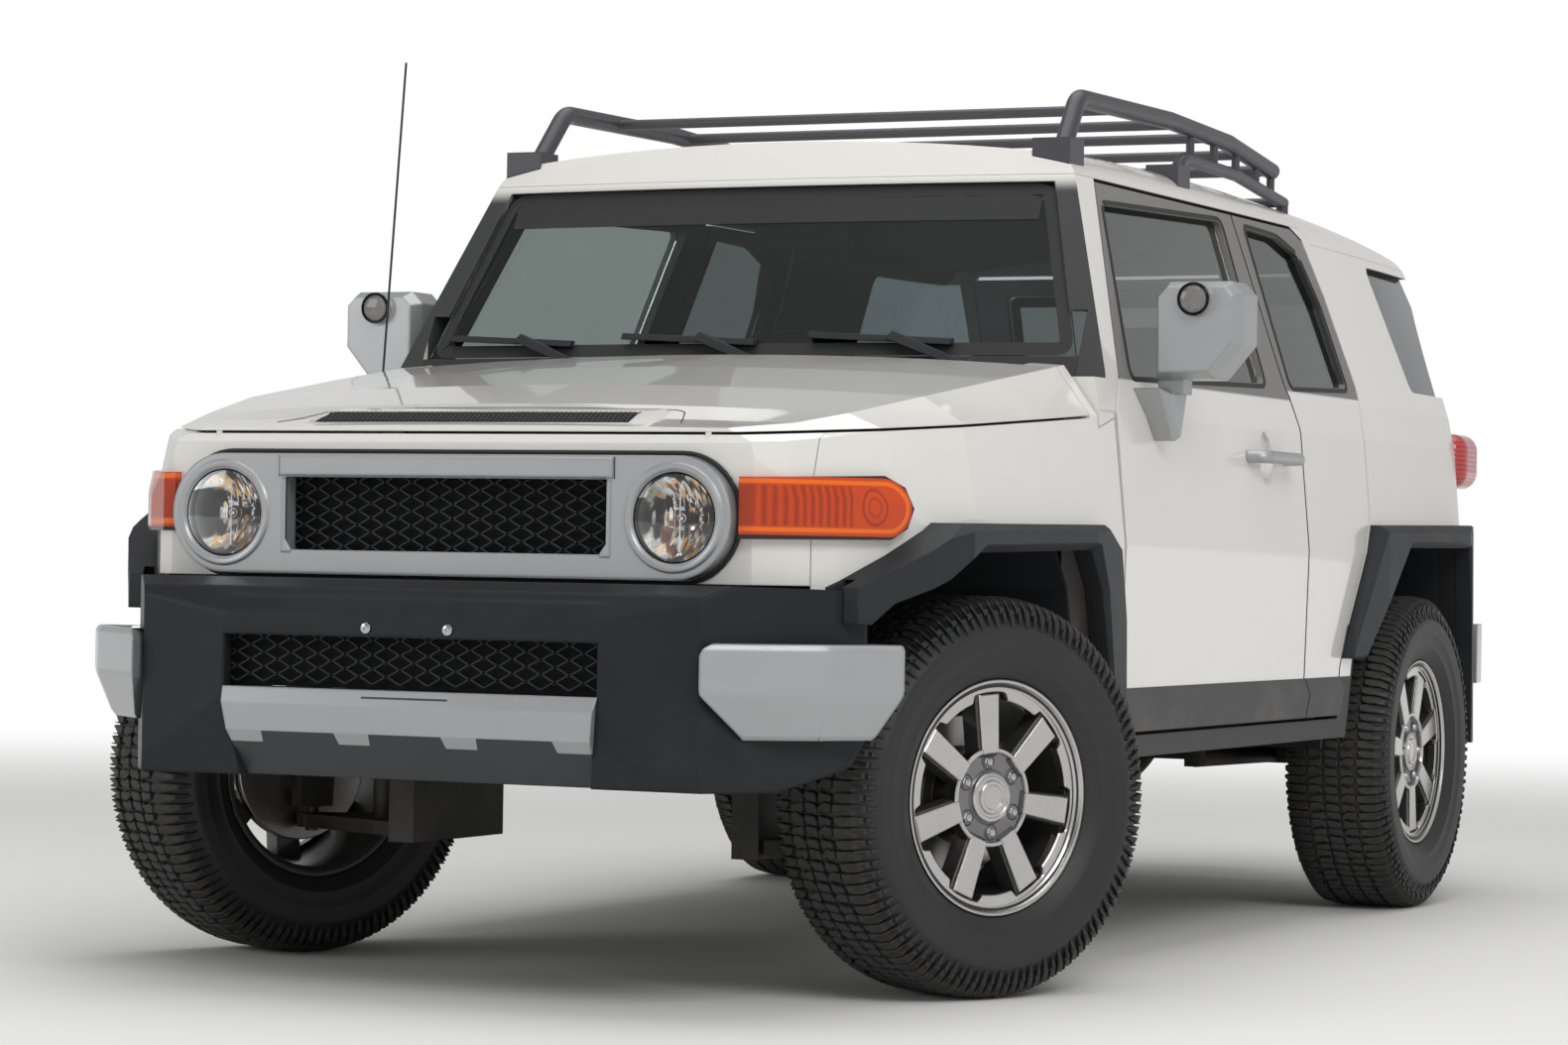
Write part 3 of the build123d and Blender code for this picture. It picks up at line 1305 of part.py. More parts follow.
# Seats and dashboard
SEAT_FOOT_Z = FLOOR_Z + FLOOR_THICKNESS + SEAT
BENCH_FOOT_Z = 725.0 + SEAT
FRONT_SEAT = (
    (1170, SEAT_FOOT_Z), (1200, 690), (1150, 720), (1150, 800), (1190, 826), (1600, 796), (1650, 830),
    (1740, 1240), (1746, 1420), (1790, 1440), (1826, 1420), (1836, 1240), (1740, 740), (1640, 690), (1600, SEAT_FOOT_Z),
)
REAR_BENCH = (
    (2240, BENCH_FOOT_Z), (2110, 800), (2120, 876), (2160, 886), (2450, 866), (2500, 900), (2590, 1240),
    (2600, 1380), (2630, 1396), (2656, 1380), (2676, 1240), (2560, BENCH_FOOT_Z),
)
seat = side_prism(side_points(FRONT_SEAT), 215, 690)
bench = side_prism(side_points(REAR_BENCH), -620, 620)
save(joined(seat, mirrored(seat), bench), "seats")
dash = side_prism(side_points(((FIREWALL + 48, 780), (FIREWALL + 60, 1180), (700, 1200), (860, 1120), (880, 900), (760, 780))), -790, 790)
STEERING_X = 400.0
STEERING_Z = 1098.0
STEERING_TILT = 24.0
wheel_centre = (STEERING_X, st(1010), STEERING_Z)
steer_axis = (0, -cos(radians(STEERING_TILT)), -sin(radians(STEERING_TILT)))
column_end = tuple(wheel_centre[i] + 190 * steer_axis[i] for i in range(3))
with BuildPart() as steering_wheel:
    with BuildSketch(Plane(origin=wheel_centre, z_dir=steer_axis)) as spokes:
        Rectangle(366, 34)
        Rectangle(34, 366)
        Circle(60)
    extrude(amount=18, both=True)
steering_ring = Plane(origin=wheel_centre, z_dir=steer_axis) * Torus(184, 15)
steering = joined(steering_wheel.part, steering_ring, tube_between(wheel_centre, column_end, 26))
save(joined(less(dash, tunnel_prism(-SEAT, 400, 1200)), steering), "dashboard")

# Roof rack: two rails, a rear basket and crossbars, cut to stand on the roof
RACK_RADIUS = 21.0
RACK_LOW_RADIUS = 15.0
RACK_POST_RADIUS = 10.0
# rail points: half width, station, height
RACK_RAIL = ((652, 790, 1730), (640, 925, 1886), (646, 1500, 1893), (648, 1900, 1879), (640, 2250, 1842))
RACK_LOW = ((652, 1480, 1735), (655, 1560, 1812), (652, 1950, 1806), (644, 2330, 1770))
RACK_POSTS = ((1640, 646, 1889, 1812), (1800, 648, 1883, 1809), (1960, 647, 1873, 1806), (2120, 643, 1856, 1790), (2240, 641, 1843, 1778))
RACK_BARS = ((1180, 1886, 12), (1560, 1890, 12), (1800, 1882, 12), (2040, 1864, 12), (2240, 1843, 14))
RACK_LOW_BARS = ((2324, 1771, 12),)
rack = []
for side in (-1, 1):
    for points, radius in ((RACK_RAIL, RACK_RADIUS), (RACK_LOW, RACK_LOW_RADIUS)):
        rack.append(bent_tube([(side * x, st(s), z) for x, s, z in points], radius, 60))
    for station, x, high, low in RACK_POSTS:
        rack.append(tube_between((side * x, st(station), low), (side * x, st(station), high), RACK_POST_RADIUS))
    rack.append(block(side * 606, side * 694, 748, 832, 1716, 1782))
    rack.append(block(side * 610, side * 690, 1440, 1520, 1716, 1786))
    rack.append(tube_between((side * 644, st(2324), 1690), (side * 644, st(2324), 1771), RACK_LOW_RADIUS))
for station, height, radius in RACK_BARS + RACK_LOW_BARS:
    rack.append(tube_between((-645, st(station), height), (645, st(station), height), radius))
roof_rack = less(joined(*rack), cab_outer)
roof_rack = roof_rack.solids().sort_by(SortBy.VOLUME)[-1]
save(roof_rack, "roof_rack")

# Mirrors and handles
MIRROR_OUTLINE = (
    (905, 1256), (905, 1436), (932, 1464), (1072, 1464), (1099, 1436), (1099, 1330), (1036, 1256),
)
MIRROR_FOOT = ((700, 1236), (846, 1236), (806, 1126), (784, 1126))
mirror_shell = domed(MIRROR_OUTLINE, st(704), st(738), st(826), 14)
mirror_lamp = round_bar_y(1003, st(688), st(760), 1424, 36)
mirror_neck = plan_prism([(905, st(748)), (962, st(748)), (962, st(804)), (905, st(804))], 1225, 1262)
mirror_foot = bevelled(side_points(MIRROR_FOOT), 840, 925, 940, 10)
door_mirror = less(joined(mirror_shell, mirror_lamp, mirror_neck, mirror_foot), cab_outer)
door_mirror = door_mirror.solids().sort_by(SortBy.VOLUME)[-1]
save(door_mirror, "mirror_left")
save(mirrored(door_mirror), "mirror_right")
HANDLE_POINTS = ((880, 1392), (928, 1404), (930, 1640), (880, 1652))
handle = less(bent_tube([(x, st(s), HANDLE_Z) for x, s in HANDLE_POINTS], 15, 20), cab_outer)
save(handle, "handle_left")
save(mirrored(handle), "handle_right")

# Cowl, wipers and antenna
COWL_FRONT = HOOD_REAR + PANEL_GAP + 6
COWL_BACK = FIREWALL - SEAT
BLADE_LENGTH = 330.0
# wiper pivot half width on the vehicle's left, then the middle and right ones
WIPER_X = (531.0, 75.0, -383.0)
blade_layer = less(windshield_region(-8), windshield_region(12 - SEAT))
arm_layer = less(windshield_region(-22), windshield_region(-8))
wipers = [block(-700, 700, COWL_FRONT, COWL_BACK, 1206, 1246)]
for x in WIPER_X:
    blade = front_prism(
        [(x - 20, 1322), (x - 20, 1336), (x - 20 - BLADE_LENGTH, 1352), (x - 20 - BLADE_LENGTH, 1338)], st(400), st(800)
    )
    arm = front_prism(
        [(x + 40, 1262), (x + 62, 1270), (x - 150, 1352), (x - 165, 1336)], st(400), st(800)
    )
    wipers.append(common(blade, blade_layer))
    wipers.append(common(arm, arm_layer))
    wipers.append(tube_between((x + 46, st(460), 1236), (x + 46, st(496), 1280), 15))
save(less(joined(*wipers), bulkhead), "wipers")

ANTENNA_X = -846.0
ANTENNA_STATION = 452.0
mast = joined(
    tube_between((ANTENNA_X, st(ANTENNA_STATION), 1100), (ANTENNA_X, st(ANTENNA_STATION + 6), 1200), 9),
    tube_between((ANTENNA_X, st(ANTENNA_STATION + 4), 1180), (ANTENNA_X + 4, st(ANTENNA_STATION + 84), 1970), 2.6),
)
save(less(mast, front_outer, cab_outer), "antenna")

# Exhaust on the right and fuel tank on the left
EXHAUST_RADIUS = 27.0
EXHAUST_LOW_Z = 366.0
EXHAUST_PATH = (
    (-205, 404, 470), (-205, 640, EXHAUST_LOW_Z), (-205, 1940, EXHAUST_LOW_Z), (-300, 2330, 486),
    (-300, 2560, 560), (-300, 2860, 560), (-372, 3180, 440), (-372, 3420, 440),
)
hanger = block(-226, -184, 1800, 1840, EXHAUST_LOW_Z, 400 - SEAT)
muffler = block(-300, -120, 1400, 1760, EXHAUST_LOW_Z - 40, EXHAUST_LOW_Z + 50)
exhaust = joined(bent_tube([(x, st(s), z) for x, s, z in EXHAUST_PATH], EXHAUST_RADIUS, 70), hanger, muffler)
save(exhaust, "exhaust")
TANK = ((1880, 412), (1880, FLOOR_Z - SEAT), (2060, FLOOR_Z - SEAT), (2300, 596), (2300, 430), (2240, 412))
save(side_prism(side_points(TANK), 110, 440), "fuel_tank")
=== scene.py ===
# %% [markdown]
# # A lifted off-road 4x4, dressed for the studio
# The imported CAD model gives every panel its place and its hinge. This script adds what a CAD solid
# leaves plain: paint, glass, tread, lamps, mesh, seals and upholstery. The frame is loaded first.
# Nothing added later may make the car bigger.

import json
import math

import bmesh
import bpy
from mathutils import Matrix, Vector
from mathutils.bvhtree import BVHTree


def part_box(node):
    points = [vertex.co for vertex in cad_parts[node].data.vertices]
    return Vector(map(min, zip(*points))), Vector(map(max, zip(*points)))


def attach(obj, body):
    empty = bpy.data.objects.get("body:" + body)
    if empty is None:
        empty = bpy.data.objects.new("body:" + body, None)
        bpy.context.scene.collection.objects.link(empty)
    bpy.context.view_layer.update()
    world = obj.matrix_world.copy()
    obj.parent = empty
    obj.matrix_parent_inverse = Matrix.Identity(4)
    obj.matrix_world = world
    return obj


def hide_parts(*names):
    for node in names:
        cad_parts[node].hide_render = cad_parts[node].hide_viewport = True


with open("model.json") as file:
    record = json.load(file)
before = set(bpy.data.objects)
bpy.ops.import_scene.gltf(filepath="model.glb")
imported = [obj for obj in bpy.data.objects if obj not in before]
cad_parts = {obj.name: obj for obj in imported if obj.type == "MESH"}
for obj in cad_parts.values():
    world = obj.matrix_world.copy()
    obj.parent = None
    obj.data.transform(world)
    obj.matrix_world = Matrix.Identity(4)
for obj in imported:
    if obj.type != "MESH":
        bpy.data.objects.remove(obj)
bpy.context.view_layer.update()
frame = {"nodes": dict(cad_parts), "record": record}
nodes = frame["nodes"]

# %% [markdown]
# ## Stations
# A car drawing measures along the car from the front axle. One helper turns such a station, in
# millimetres, into the frame's Y in metres, so that numbers read off the drawing can be used as they are.

# %% Stations and sides
MM = 0.001
FRONT_AXLE = -1.465
SIDES = ((1, "left"), (-1, "right"))


def st(station):
    """Y in metres of a station in millimetres behind the front axle."""
    return FRONT_AXLE + station * MM


print("front axle at", st(0), "rear axle at", st(2690))

# %% [markdown]
# ## Camera
# The photograph was taken from low down and well off, with a long lens, from the front left corner.
# The angles were worked out from straight edges of the car, such as the roof line, the oblong grille
# and the wheel centres. The camera leans by one degree, as the hand-held one did.

# %% Camera
CAMERA_PLACE = Vector((4.085, -9.3192, 0.8549))
CAMERA_AZIMUTH = math.radians(25.26)
CAMERA_PITCH = math.radians(-0.51)
CAMERA_ROLL = math.radians(0.99)
CAMERA_LENS = 98.1
SENSOR_WIDTH = 36
FAR_CLIP = 200


def placed(name, data, matrix):
    """A new object in the scene, standing where the matrix says."""
    made = bpy.data.objects.new(name, data)
    bpy.context.scene.collection.objects.link(made)
    made.matrix_world = matrix
    return made


away = Vector(
    (
        math.sin(CAMERA_AZIMUTH) * math.cos(CAMERA_PITCH),
        -math.cos(CAMERA_AZIMUTH) * math.cos(CAMERA_PITCH),
        math.sin(CAMERA_PITCH),
    )
)
level = Vector((math.cos(CAMERA_AZIMUTH), math.sin(CAMERA_AZIMUTH), 0))
upright = level.cross(-away)
across = level * math.cos(CAMERA_ROLL) + upright * math.sin(CAMERA_ROLL)
lens_up = away.cross(across)
stance = Matrix.Translation(CAMERA_PLACE) @ Matrix((across, lens_up, away)).transposed().to_4x4()
camera = placed("camera", bpy.data.cameras.new("camera"), stance)
camera.data.lens = CAMERA_LENS
camera.data.sensor_width = SENSOR_WIDTH
camera.data.clip_end = FAR_CLIP
bpy.context.scene.camera = camera

# %% [markdown]
# ## Shader sums
# A material is a small sum over the surface: a base colour, plus dust low down, minus wear. Written as
# nodes by hand such a sum is long, so this class wraps one socket and lets plain + - * build the Math
# nodes. Colours go through Mix nodes, because a Math node would turn them grey.

# %% Shader sums
class Wire:
    """One output socket of a node tree, with sums written as Python sums."""

    def __init__(self, tree, socket=None):
        self.tree = tree
        self.socket = socket

    def node(self, kind, settings=None, sockets=None, out=0):
        """Adds a node: its settings first, then values or links of its sockets."""
        made = self.tree.nodes.new(kind)
        for name, value in (settings or {}).items():
            setattr(made, name, value)
        for name, value in (sockets or {}).items():
            if isinstance(value, Wire):
                self.tree.links.new(value.socket, made.inputs[name])
            else:
                made.inputs[name].default_value = value
        return Wire(self.tree, made.outputs[out])

    def sibling(self, out):
        """Another output of the same node."""
        return Wire(self.tree, self.socket.node.outputs[out])

    def maths(self, operation, *values):
        return self.node("ShaderNodeMath", {"operation": operation}, dict(enumerate(values)))

    def __add__(self, other):
        return self.maths("ADD", self, other)

    def __sub__(self, other):
        return self.maths("SUBTRACT", self, other)

    def __rsub__(self, other):
        return self.maths("SUBTRACT", other, self)

    def __mul__(self, other):
        return self.maths("MULTIPLY", self, other)

    __radd__ = __add__
    __rmul__ = __mul__

    def __abs__(self):
        return self.maths("ABSOLUTE", self)

    def root(self):
        return self.maths("SQRT", self)

    def clamp(self):
        return self.node("ShaderNodeMath", {"operation": "ADD", "use_clamp": True}, {0: self, 1: 0.0})

    def step(self, low, high):
        """0 below low, 1 above high, smooth between."""
        return self.node(
            "ShaderNodeMapRange",
            {"interpolation_type": "SMOOTHSTEP"},
            {"Value": self, "From Min": low, "From Max": high},
        )

    def past(self, limit, blur=0.001):
        """0 before a limit, 1 past it."""
        return self.step(limit - blur, limit + blur)

    def fall(self, low, high):
        """1 below low, 0 above high."""
        return 1 - self.step(low, high)

    def band(self, foot, top, end, gone):
        """Rises between the first two values and falls between the last two."""
        return self.step(foot, top) * self.fall(end, gone)

    def tint(self, dark, light):
        """Mixes two colours, given or linked, by this value."""
        dark = (*dark, 1) if isinstance(dark, tuple) else dark
        light = (*light, 1) if isinstance(light, tuple) else light
        return self.node(
            "ShaderNodeMix", {"data_type": "RGBA"}, {"Factor": self, 6: dark, 7: light}, out=2
        )


print("sums ready")

# %% [markdown]
# ## A material to start from
# Nearly every finish here has the same skeleton. The surface is broken up by a large soft noise, as
# real panels are never one flat colour. A fine noise gives the grain that a mould or a spray gun
# leaves. Low parts carry a little road dust. Edges are rounded in the shading by the Bevel node, so
# that every cut CAD edge catches a thin line of light as a pressed or moulded edge does.

# %% Material builder
def surface(name, **fixed):
    """A new material, its Principled shader and its object coordinates."""
    material = bpy.data.materials.new(name)
    material.use_nodes = True
    tree = material.node_tree
    shader = tree.nodes["Principled BSDF"]
    for socket, value in fixed.items():
        shader.inputs[socket.replace("_", " ")].default_value = value
    place = Wire(tree).node("ShaderNodeTexCoord", out=3)
    return material, shader, place


def feed(shader, socket, wire):
    shader.id_data.links.new(wire.socket, shader.inputs[socket])


def noise(place, scale, detail=3.0, rough=0.55, stretch=None):
    if stretch:
        place = place.node("ShaderNodeVectorMath", {"operation": "MULTIPLY"}, {0: place, 1: stretch})
    sockets = {"Vector": place, "Scale": scale, "Detail": detail, "Roughness": rough}
    return place.node("ShaderNodeTexNoise", None, sockets)


def axes(vector):
    """X, Y and Z of a vector. Of a place, they are metres, and Z is the height over the floor."""
    x = vector.node("ShaderNodeSeparateXYZ", None, {0: vector})
    return x, x.sibling(1), x.sibling(2)


def bump(relief, strength, distance, normal=None):
    sockets = {"Height": relief, "Strength": strength, "Distance": distance}
    if normal is not None:
        sockets["Normal"] = normal
    return relief.node("ShaderNodeBump", None, sockets)


def soft_edges(shader, place, radius, relief=None, strength=0.2, distance=0.001):
    """Rounds edges in the shading, and adds a relief over it."""
    rounded = place.node("ShaderNodeBevel", {"samples": 4}, {"Radius": radius})
    feed(shader, "Normal", rounded if relief is None else bump(relief, strength, distance, rounded))


DUST = (0.36, 0.31, 0.25)


def dusty(place, colour, low=0.3, high=0.9, amount=0.25):
    """The colour with road dust that fades out upwards, broken up by noise."""
    z = axes(place)[2]
    patches = noise(place, 5.0, 6.0, 0.65).step(0.35, 0.75)
    return (z.fall(low, high) * patches * amount).clamp().tint(colour, DUST)


print("builder ready")

# %% [markdown]
# ## Body paint
# The car is painted in a warm white under a clear coat. The window frames of the doors are a taupe
# grey film, and the low strip of each door is grey cladding. Both belong to the same pressed door, so
# the paint finds them by height instead of by a separate piece. The frames' taupe grey is lighter than
# their own dark grey: part of it is painted reflection of the sky. The coat is glossy with a very slight
# orange peel, which is what makes a reflection on real paint waver.
#
# Paint ends where a real body changes material: the wheel openings are sprayed black, the sill carries
# the same cladding as the doors, and the cabin is lined with trim. The faces inside the door gaps get
# painted shade, the trim's dark grey, so that each gap reads as a dark line. The openings and the sill
# are found by place. The lining and the gaps are found by the way a face looks, since a panel's inner
# face looks inwards and a gap's faces look along the car.

# %% Paint tones
WHITE = (0.76, 0.745, 0.705)
# window frame grey: the film's own dark grey lightened by painted reflection of the sky
FRAME_GREY_AND_SKY_SHEEN = (0.19, 0.182, 0.180)
CLADDING_GREY = (0.06, 0.06, 0.064)
ARCH_BLACK = (0.009, 0.009, 0.010)
# the cabin trim's dark grey, also used as painted shade on the faces inside the door gaps
TRIM_AND_GAP_SHADE_GREY = (0.045, 0.045, 0.047)
HEADLINER_GREY = (0.17, 0.17, 0.165)


def shade(tone, share):
    """A tone made darker or lighter."""
    return tuple(min(1, v * share) for v in tone)


def flecked(place, scale, tone, dark, light):
    """A tone with a fine grain, between two shares of itself."""
    return noise(place, scale, 2.0).tint(shade(tone, dark), shade(tone, light))


print("paint tones ready")

# %% Where the paint ends
CLADDING_TOP = 0.598
SILL_ENDS = (440, 2170)
DOOR_GAPS = (535, 2250)
FIREWALL = 575
TAILGATE_SKIN = 3300
UNDER_ROOF, HEADLINER, DOOR_TOP = (1.50, 1.55), (1.62, 1.66), (1.66, 1.70)
# how far a face turns towards a direction, where a mask is one and where it is zero
FACING_IN, FACING_AWAY, FACING_FRONT = (-0.45, -0.3), (-0.6, -0.45), (-0.9, -0.84)
# the same for both directions along the car, squared, where a mask is zero and where it is one
FACING_ALONG = (0.72, 0.80)
# edges of the two wheel openings seen from the side: outward direction in y and z, and a point in mm
ARCH_EDGES = (
    (
        (0.0, 1.0, (0, 887)), (0.775, 0.632, (392, 806)), (0.956, 0.294, (392, 806)), (1.0, 0.0, (462, 400)),
        (-0.386, 0.923, (-282, 876)), (-0.67, 0.743, (-519, 777)), (-0.999, 0.044, (-560, 740)),
    ),
    (
        (0.0, 1.0, (2480, 930)), (-0.658, 0.754, (2165, 650)), (-0.98, 0.2, (2110, 380)),
        (0.982, 0.190, (3072, 930)), (1.0, 0.023, (3128, 640)),
    ),
)
ARCH_MARGIN = 0.013


def arch_mask(place):
    """One in the wheel openings and just round them, where the flares hide the paint's edge."""
    y, z = axes(place)[1:]
    openings = []
    for edges in ARCH_EDGES:
        inside = 1
        for along, up, (station, level) in edges:
            limit = along * st(station) + up * level * MM + ARCH_MARGIN
            inside = inside * (1 - (y * along + z * up).past(limit))
        openings.append(inside)
    return (openings[0] + openings[1]).clamp()


def sill_mask(place):
    """One on the sill between the wheels, which is clad like the foot of the doors."""
    y, z = axes(place)[1:]
    front, rear = SILL_ENDS
    return (1 - z.past(CLADDING_TOP)) * y.band(st(front), st(front + 2), st(rear), st(rear + 2))


def facing_axes(place):
    """X, Y and Z of the direction a face looks in, read in the object's own frame."""
    return axes(place.node("ShaderNodeTexCoord", out=1))


def cabin_mask(place):
    """One on the faces that look into the cabin: those of a body side or door that face inwards, the roof's
    underside and the tailgate's front face."""
    x, y, z = axes(place)
    across, along, up = facing_axes(place)
    inwards = (across * x.maths("SIGN", x)).fall(*FACING_IN)
    downwards = up.fall(*FACING_AWAY) * z.step(*UNDER_ROOF)
    forwards_at_rear = along.fall(*FACING_AWAY) * y.step(st(TAILGATE_SKIN), st(TAILGATE_SKIN + 10))
    behind_firewall = y.step(st(FIREWALL), st(FIREWALL + 5))
    return ((inwards + downwards + forwards_at_rear) * behind_firewall).clamp()


def gap_shade_mask(place, whole_body):
    """One on the faces inside the door gaps, which look along the car. They carry painted shade, the trim's
    dark grey standing for the shadow in a gap, so a gap reads as a dark line.
    """
    along = facing_axes(place)[1]
    if not whole_body:
        return along.fall(*FACING_FRONT)
    y, z = axes(place)[1:]
    front, rear = DOOR_GAPS
    beside_doors = y.band(st(front), st(front + 3), st(rear), st(rear + 10)) * z.fall(*DOOR_TOP)
    return (along * along).step(*FACING_ALONG) * beside_doors


print("masks ready")


# %% Paint
def body_paint(name, frame_from=None, front_gap_shade=False):
    """The car's white. With frame_from, the height of its window frame's foot, it is a door's paint."""
    material, shader, place = surface(name, Roughness=0.3, Coat_Roughness=0.025)
    z = axes(place)[2]
    whole_body = frame_from is None
    # mask, what shows there instead of paint, how much duller it is
    layers = [(cabin_mask(place), z.step(*HEADLINER).tint(TRIM_AND_GAP_SHADE_GREY, HEADLINER_GREY), 0.35)]
    # painted shade: the faces inside the door gaps take the trim's dark grey
    if whole_body or front_gap_shade:
        layers.append((gap_shade_mask(place, whole_body), TRIM_AND_GAP_SHADE_GREY, 0.0))
    if whole_body:
        arch = arch_mask(place)
        clad = flecked(place, 420.0, CLADDING_GREY, 0.75, 1.05)
        layers += [(sill_mask(place) * (1 - arch), clad, 0.35), (arch, ARCH_BLACK, 0.35)]
    else:
        # the frame film, its grey partly painted reflection of the sky
        film = flecked(place, 260.0, FRAME_GREY_AND_SKY_SHEEN, 0.9, 1.1)
        clad = dusty(place, flecked(place, 420.0, CLADDING_GREY, 0.85, 1.15), 0.4, 0.7, 0.3)
        layers = [(z.past(frame_from, 0.003), film, 0.2), (1 - z.past(CLADDING_TOP), clad, 0.28)] + layers
    flow = noise(place, 1.3).tint(shade(WHITE, 0.975), shade(WHITE, 1.015))
    colour = dusty(place, flow, 0.45, 0.95, 0.10)
    rough = noise(place, 7.0, 5.0) * 0.06 + 0.27
    coat = 1
    for mask, tone, dulled in layers:
        colour = mask.tint(colour, tone)
        rough = rough + mask * dulled
        coat = (coat - mask).clamp()
    feed(shader, "Base Color", colour)
    feed(shader, "Roughness", rough)
    feed(shader, "Coat Weight", coat)
    soft_edges(shader, place, 0.004, noise(place, 230.0, 1.0), 0.035, 0.0006)
    return material


paint = body_paint("body_paint")
door_front_paint = body_paint("front_door_paint", 1.252)
# the rear doors' front edges also carry the painted gap shade
door_rear_paint = body_paint("rear_door_paint", 1.275, front_gap_shade=True)
print("paints", paint.name, door_front_paint.name, door_rear_paint.name)

# %% [markdown]
# ## Other finishes
# Moulded parts differ in colour, gloss and grain, so they come from one table. Each row is a real
# finish: its two tones, roughness, metal share, the size of its grain and how much dust it holds.

# %% Moulded and cast finishes
# name: darker tone, lighter tone, roughness, metal, grain scale, grain strength, dust, coat
FINISHES = {
    "silver_paint": ((0.36, 0.365, 0.375), (0.42, 0.425, 0.435), 0.36, 0.55, 900.0, 0.05, 0.05, 0.35),
    "black_plastic": ((0.021, 0.023, 0.026), (0.033, 0.036, 0.040), 0.46, 0.0, 520.0, 0.30, 0.05, 0.0),
    "flare_plastic": ((0.019, 0.020, 0.023), (0.030, 0.031, 0.035), 0.48, 0.0, 520.0, 0.35, 0.05, 0.0),
    "rack_coat": ((0.050, 0.048, 0.056), (0.070, 0.067, 0.078), 0.42, 0.25, 700.0, 0.30, 0.02, 0.1),
    "dark_metal": ((0.020, 0.020, 0.022), (0.034, 0.034, 0.036), 0.45, 0.6, 300.0, 0.30, 0.10, 0.0),
    "frame_steel": ((0.010, 0.010, 0.011), (0.020, 0.019, 0.019), 0.55, 0.2, 160.0, 0.45, 0.12, 0.0),
    "underbody_steel": ((0.016, 0.016, 0.016), (0.030, 0.029, 0.028), 0.65, 0.1, 120.0, 0.60, 0.18, 0.0),
    "cast_metal": ((0.032, 0.031, 0.031), (0.070, 0.068, 0.066), 0.55, 0.6, 190.0, 0.80, 0.08, 0.0),
    "exhaust_steel": ((0.20, 0.17, 0.14), (0.38, 0.36, 0.34), 0.42, 0.9, 60.0, 0.25, 0.35, 0.0),
    "tank_plastic": ((0.012, 0.012, 0.013), (0.024, 0.024, 0.026), 0.55, 0.0, 240.0, 0.30, 0.45, 0.0),
    "cabin_plastic": ((0.022, 0.022, 0.024), (0.038, 0.038, 0.041), 0.62, 0.0, 380.0, 0.50, 0.0, 0.0),
    "mesh_coat": ((0.030, 0.032, 0.035), (0.048, 0.050, 0.054), 0.40, 0.0, 520.0, 0.10, 0.0, 0.0),
    # near-black backing behind the meshes: painted shade where the openings look into the car
    "shade_backing": ((0.003, 0.003, 0.003), (0.006, 0.006, 0.006), 0.80, 0.0, 520.0, 0.10, 0.0, 0.0),
    "bumper_plastic": ((0.010, 0.012, 0.015), (0.018, 0.021, 0.025), 0.40, 0.0, 520.0, 0.25, 0.03, 0.0),
    "rubber": ((0.012, 0.012, 0.012), (0.022, 0.022, 0.023), 0.62, 0.0, 600.0, 0.25, 0.10, 0.0),
}
GRAINED = ("black_plastic", "flare_plastic", "bumper_plastic", "cabin_plastic", "mesh_coat", "shade_backing")
GRAINED_GLOSS, PLAIN_GLOSS = 0.22, 0.5
EDGE_RADIUS = {"bumper_plastic": 0.014, "flare_plastic": 0.006, "silver_paint": 0.009}
USUAL_EDGE = 0.0035


def moulded(name):
    dark, light, rough, metal, grain_scale, grain, dust, coat = FINISHES[name]
    gloss = GRAINED_GLOSS if name in GRAINED else PLAIN_GLOSS
    material, shader, place = surface(
        name, Metallic=metal, Coat_Weight=coat, Coat_Roughness=0.12, Specular_IOR_Level=gloss
    )
    cloud = noise(place, 3.5, 5.0, 0.6)
    feed(shader, "Base Color", dusty(place, cloud.tint(dark, light), 0.25, 1.0, dust))
    feed(shader, "Roughness", noise(place, 14.0, 4.0) * 0.12 + (rough - 0.06))
    relief = noise(place, grain_scale, 2.0)
    soft_edges(shader, place, EDGE_RADIUS.get(name, USUAL_EDGE), relief, grain, 0.0004)
    return material


finish = {name: moulded(name) for name in FINISHES}
print("finishes", len(finish))

# %% [markdown]
# ## Glass, lenses and bright metal
# Car glass is thin and slightly green. Each CAD pane is a real 5 mm sheet, so a plain transmission
# shader bends light correctly through it. Rear panes are darker. Lenses are coloured plastic over
# ribs, and the ribs are a wave in the colour and the bump, spaced as on the real mouldings. Chrome is
# a metal with almost no roughness, with faint polishing marks.

# %% Glass and lenses
def glass(name, tone, rear_tone=None):
    """Clear or tinted glass. The node with both the windshield and the rear panes takes a rear tone too."""
    material, shader, place = surface(name, Transmission_Weight=1.0, IOR=1.47)
    smear = noise(place, 9.0, 5.0, 0.6)
    colour = smear.tint(shade(tone, 0.93), tone)
    if rear_tone:
        colour = axes(place)[1].step(0.3, 0.5).tint(colour, rear_tone)
    feed(shader, "Base Color", colour)
    feed(shader, "Roughness", smear * 0.02)
    return material


def ribs_of(place, axis, spacing):
    """Ribs some metres apart. A Wave node of scale s repeats every pi / (10 s) metres."""
    return place.node(
        "ShaderNodeTexWave", {"bands_direction": axis}, {"Vector": place, "Scale": math.pi / (10 * spacing)}
    )


def lens(name, dark, light, axis, spacing, metal=0.0):
    """A coloured lens: ribs show as stripes of tone and as relief under a clear skin."""
    material, shader, place = surface(name, Coat_Weight=1.0, Coat_Roughness=0.03, Metallic=metal)
    ribs = ribs_of(place, axis, spacing)
    depth = noise(place, 12.0) * 0.35 + ribs * 0.65
    feed(shader, "Base Color", depth.tint(dark, light))
    feed(shader, "Roughness", ribs * 0.12 + 0.12)
    feed(shader, "Normal", bump(ribs, 0.5, 0.002))
    return material


def bright_metal(name, dark, light, rough, marks):
    material, shader, place = surface(name, Metallic=1.0)
    streak = noise(place, marks, 3.0, 0.6)
    feed(shader, "Base Color", streak.tint(dark, light))
    feed(shader, "Roughness", streak * 0.08 + rough)
    soft_edges(shader, place, 0.0008, streak, 0.03, 0.0003)
    return material


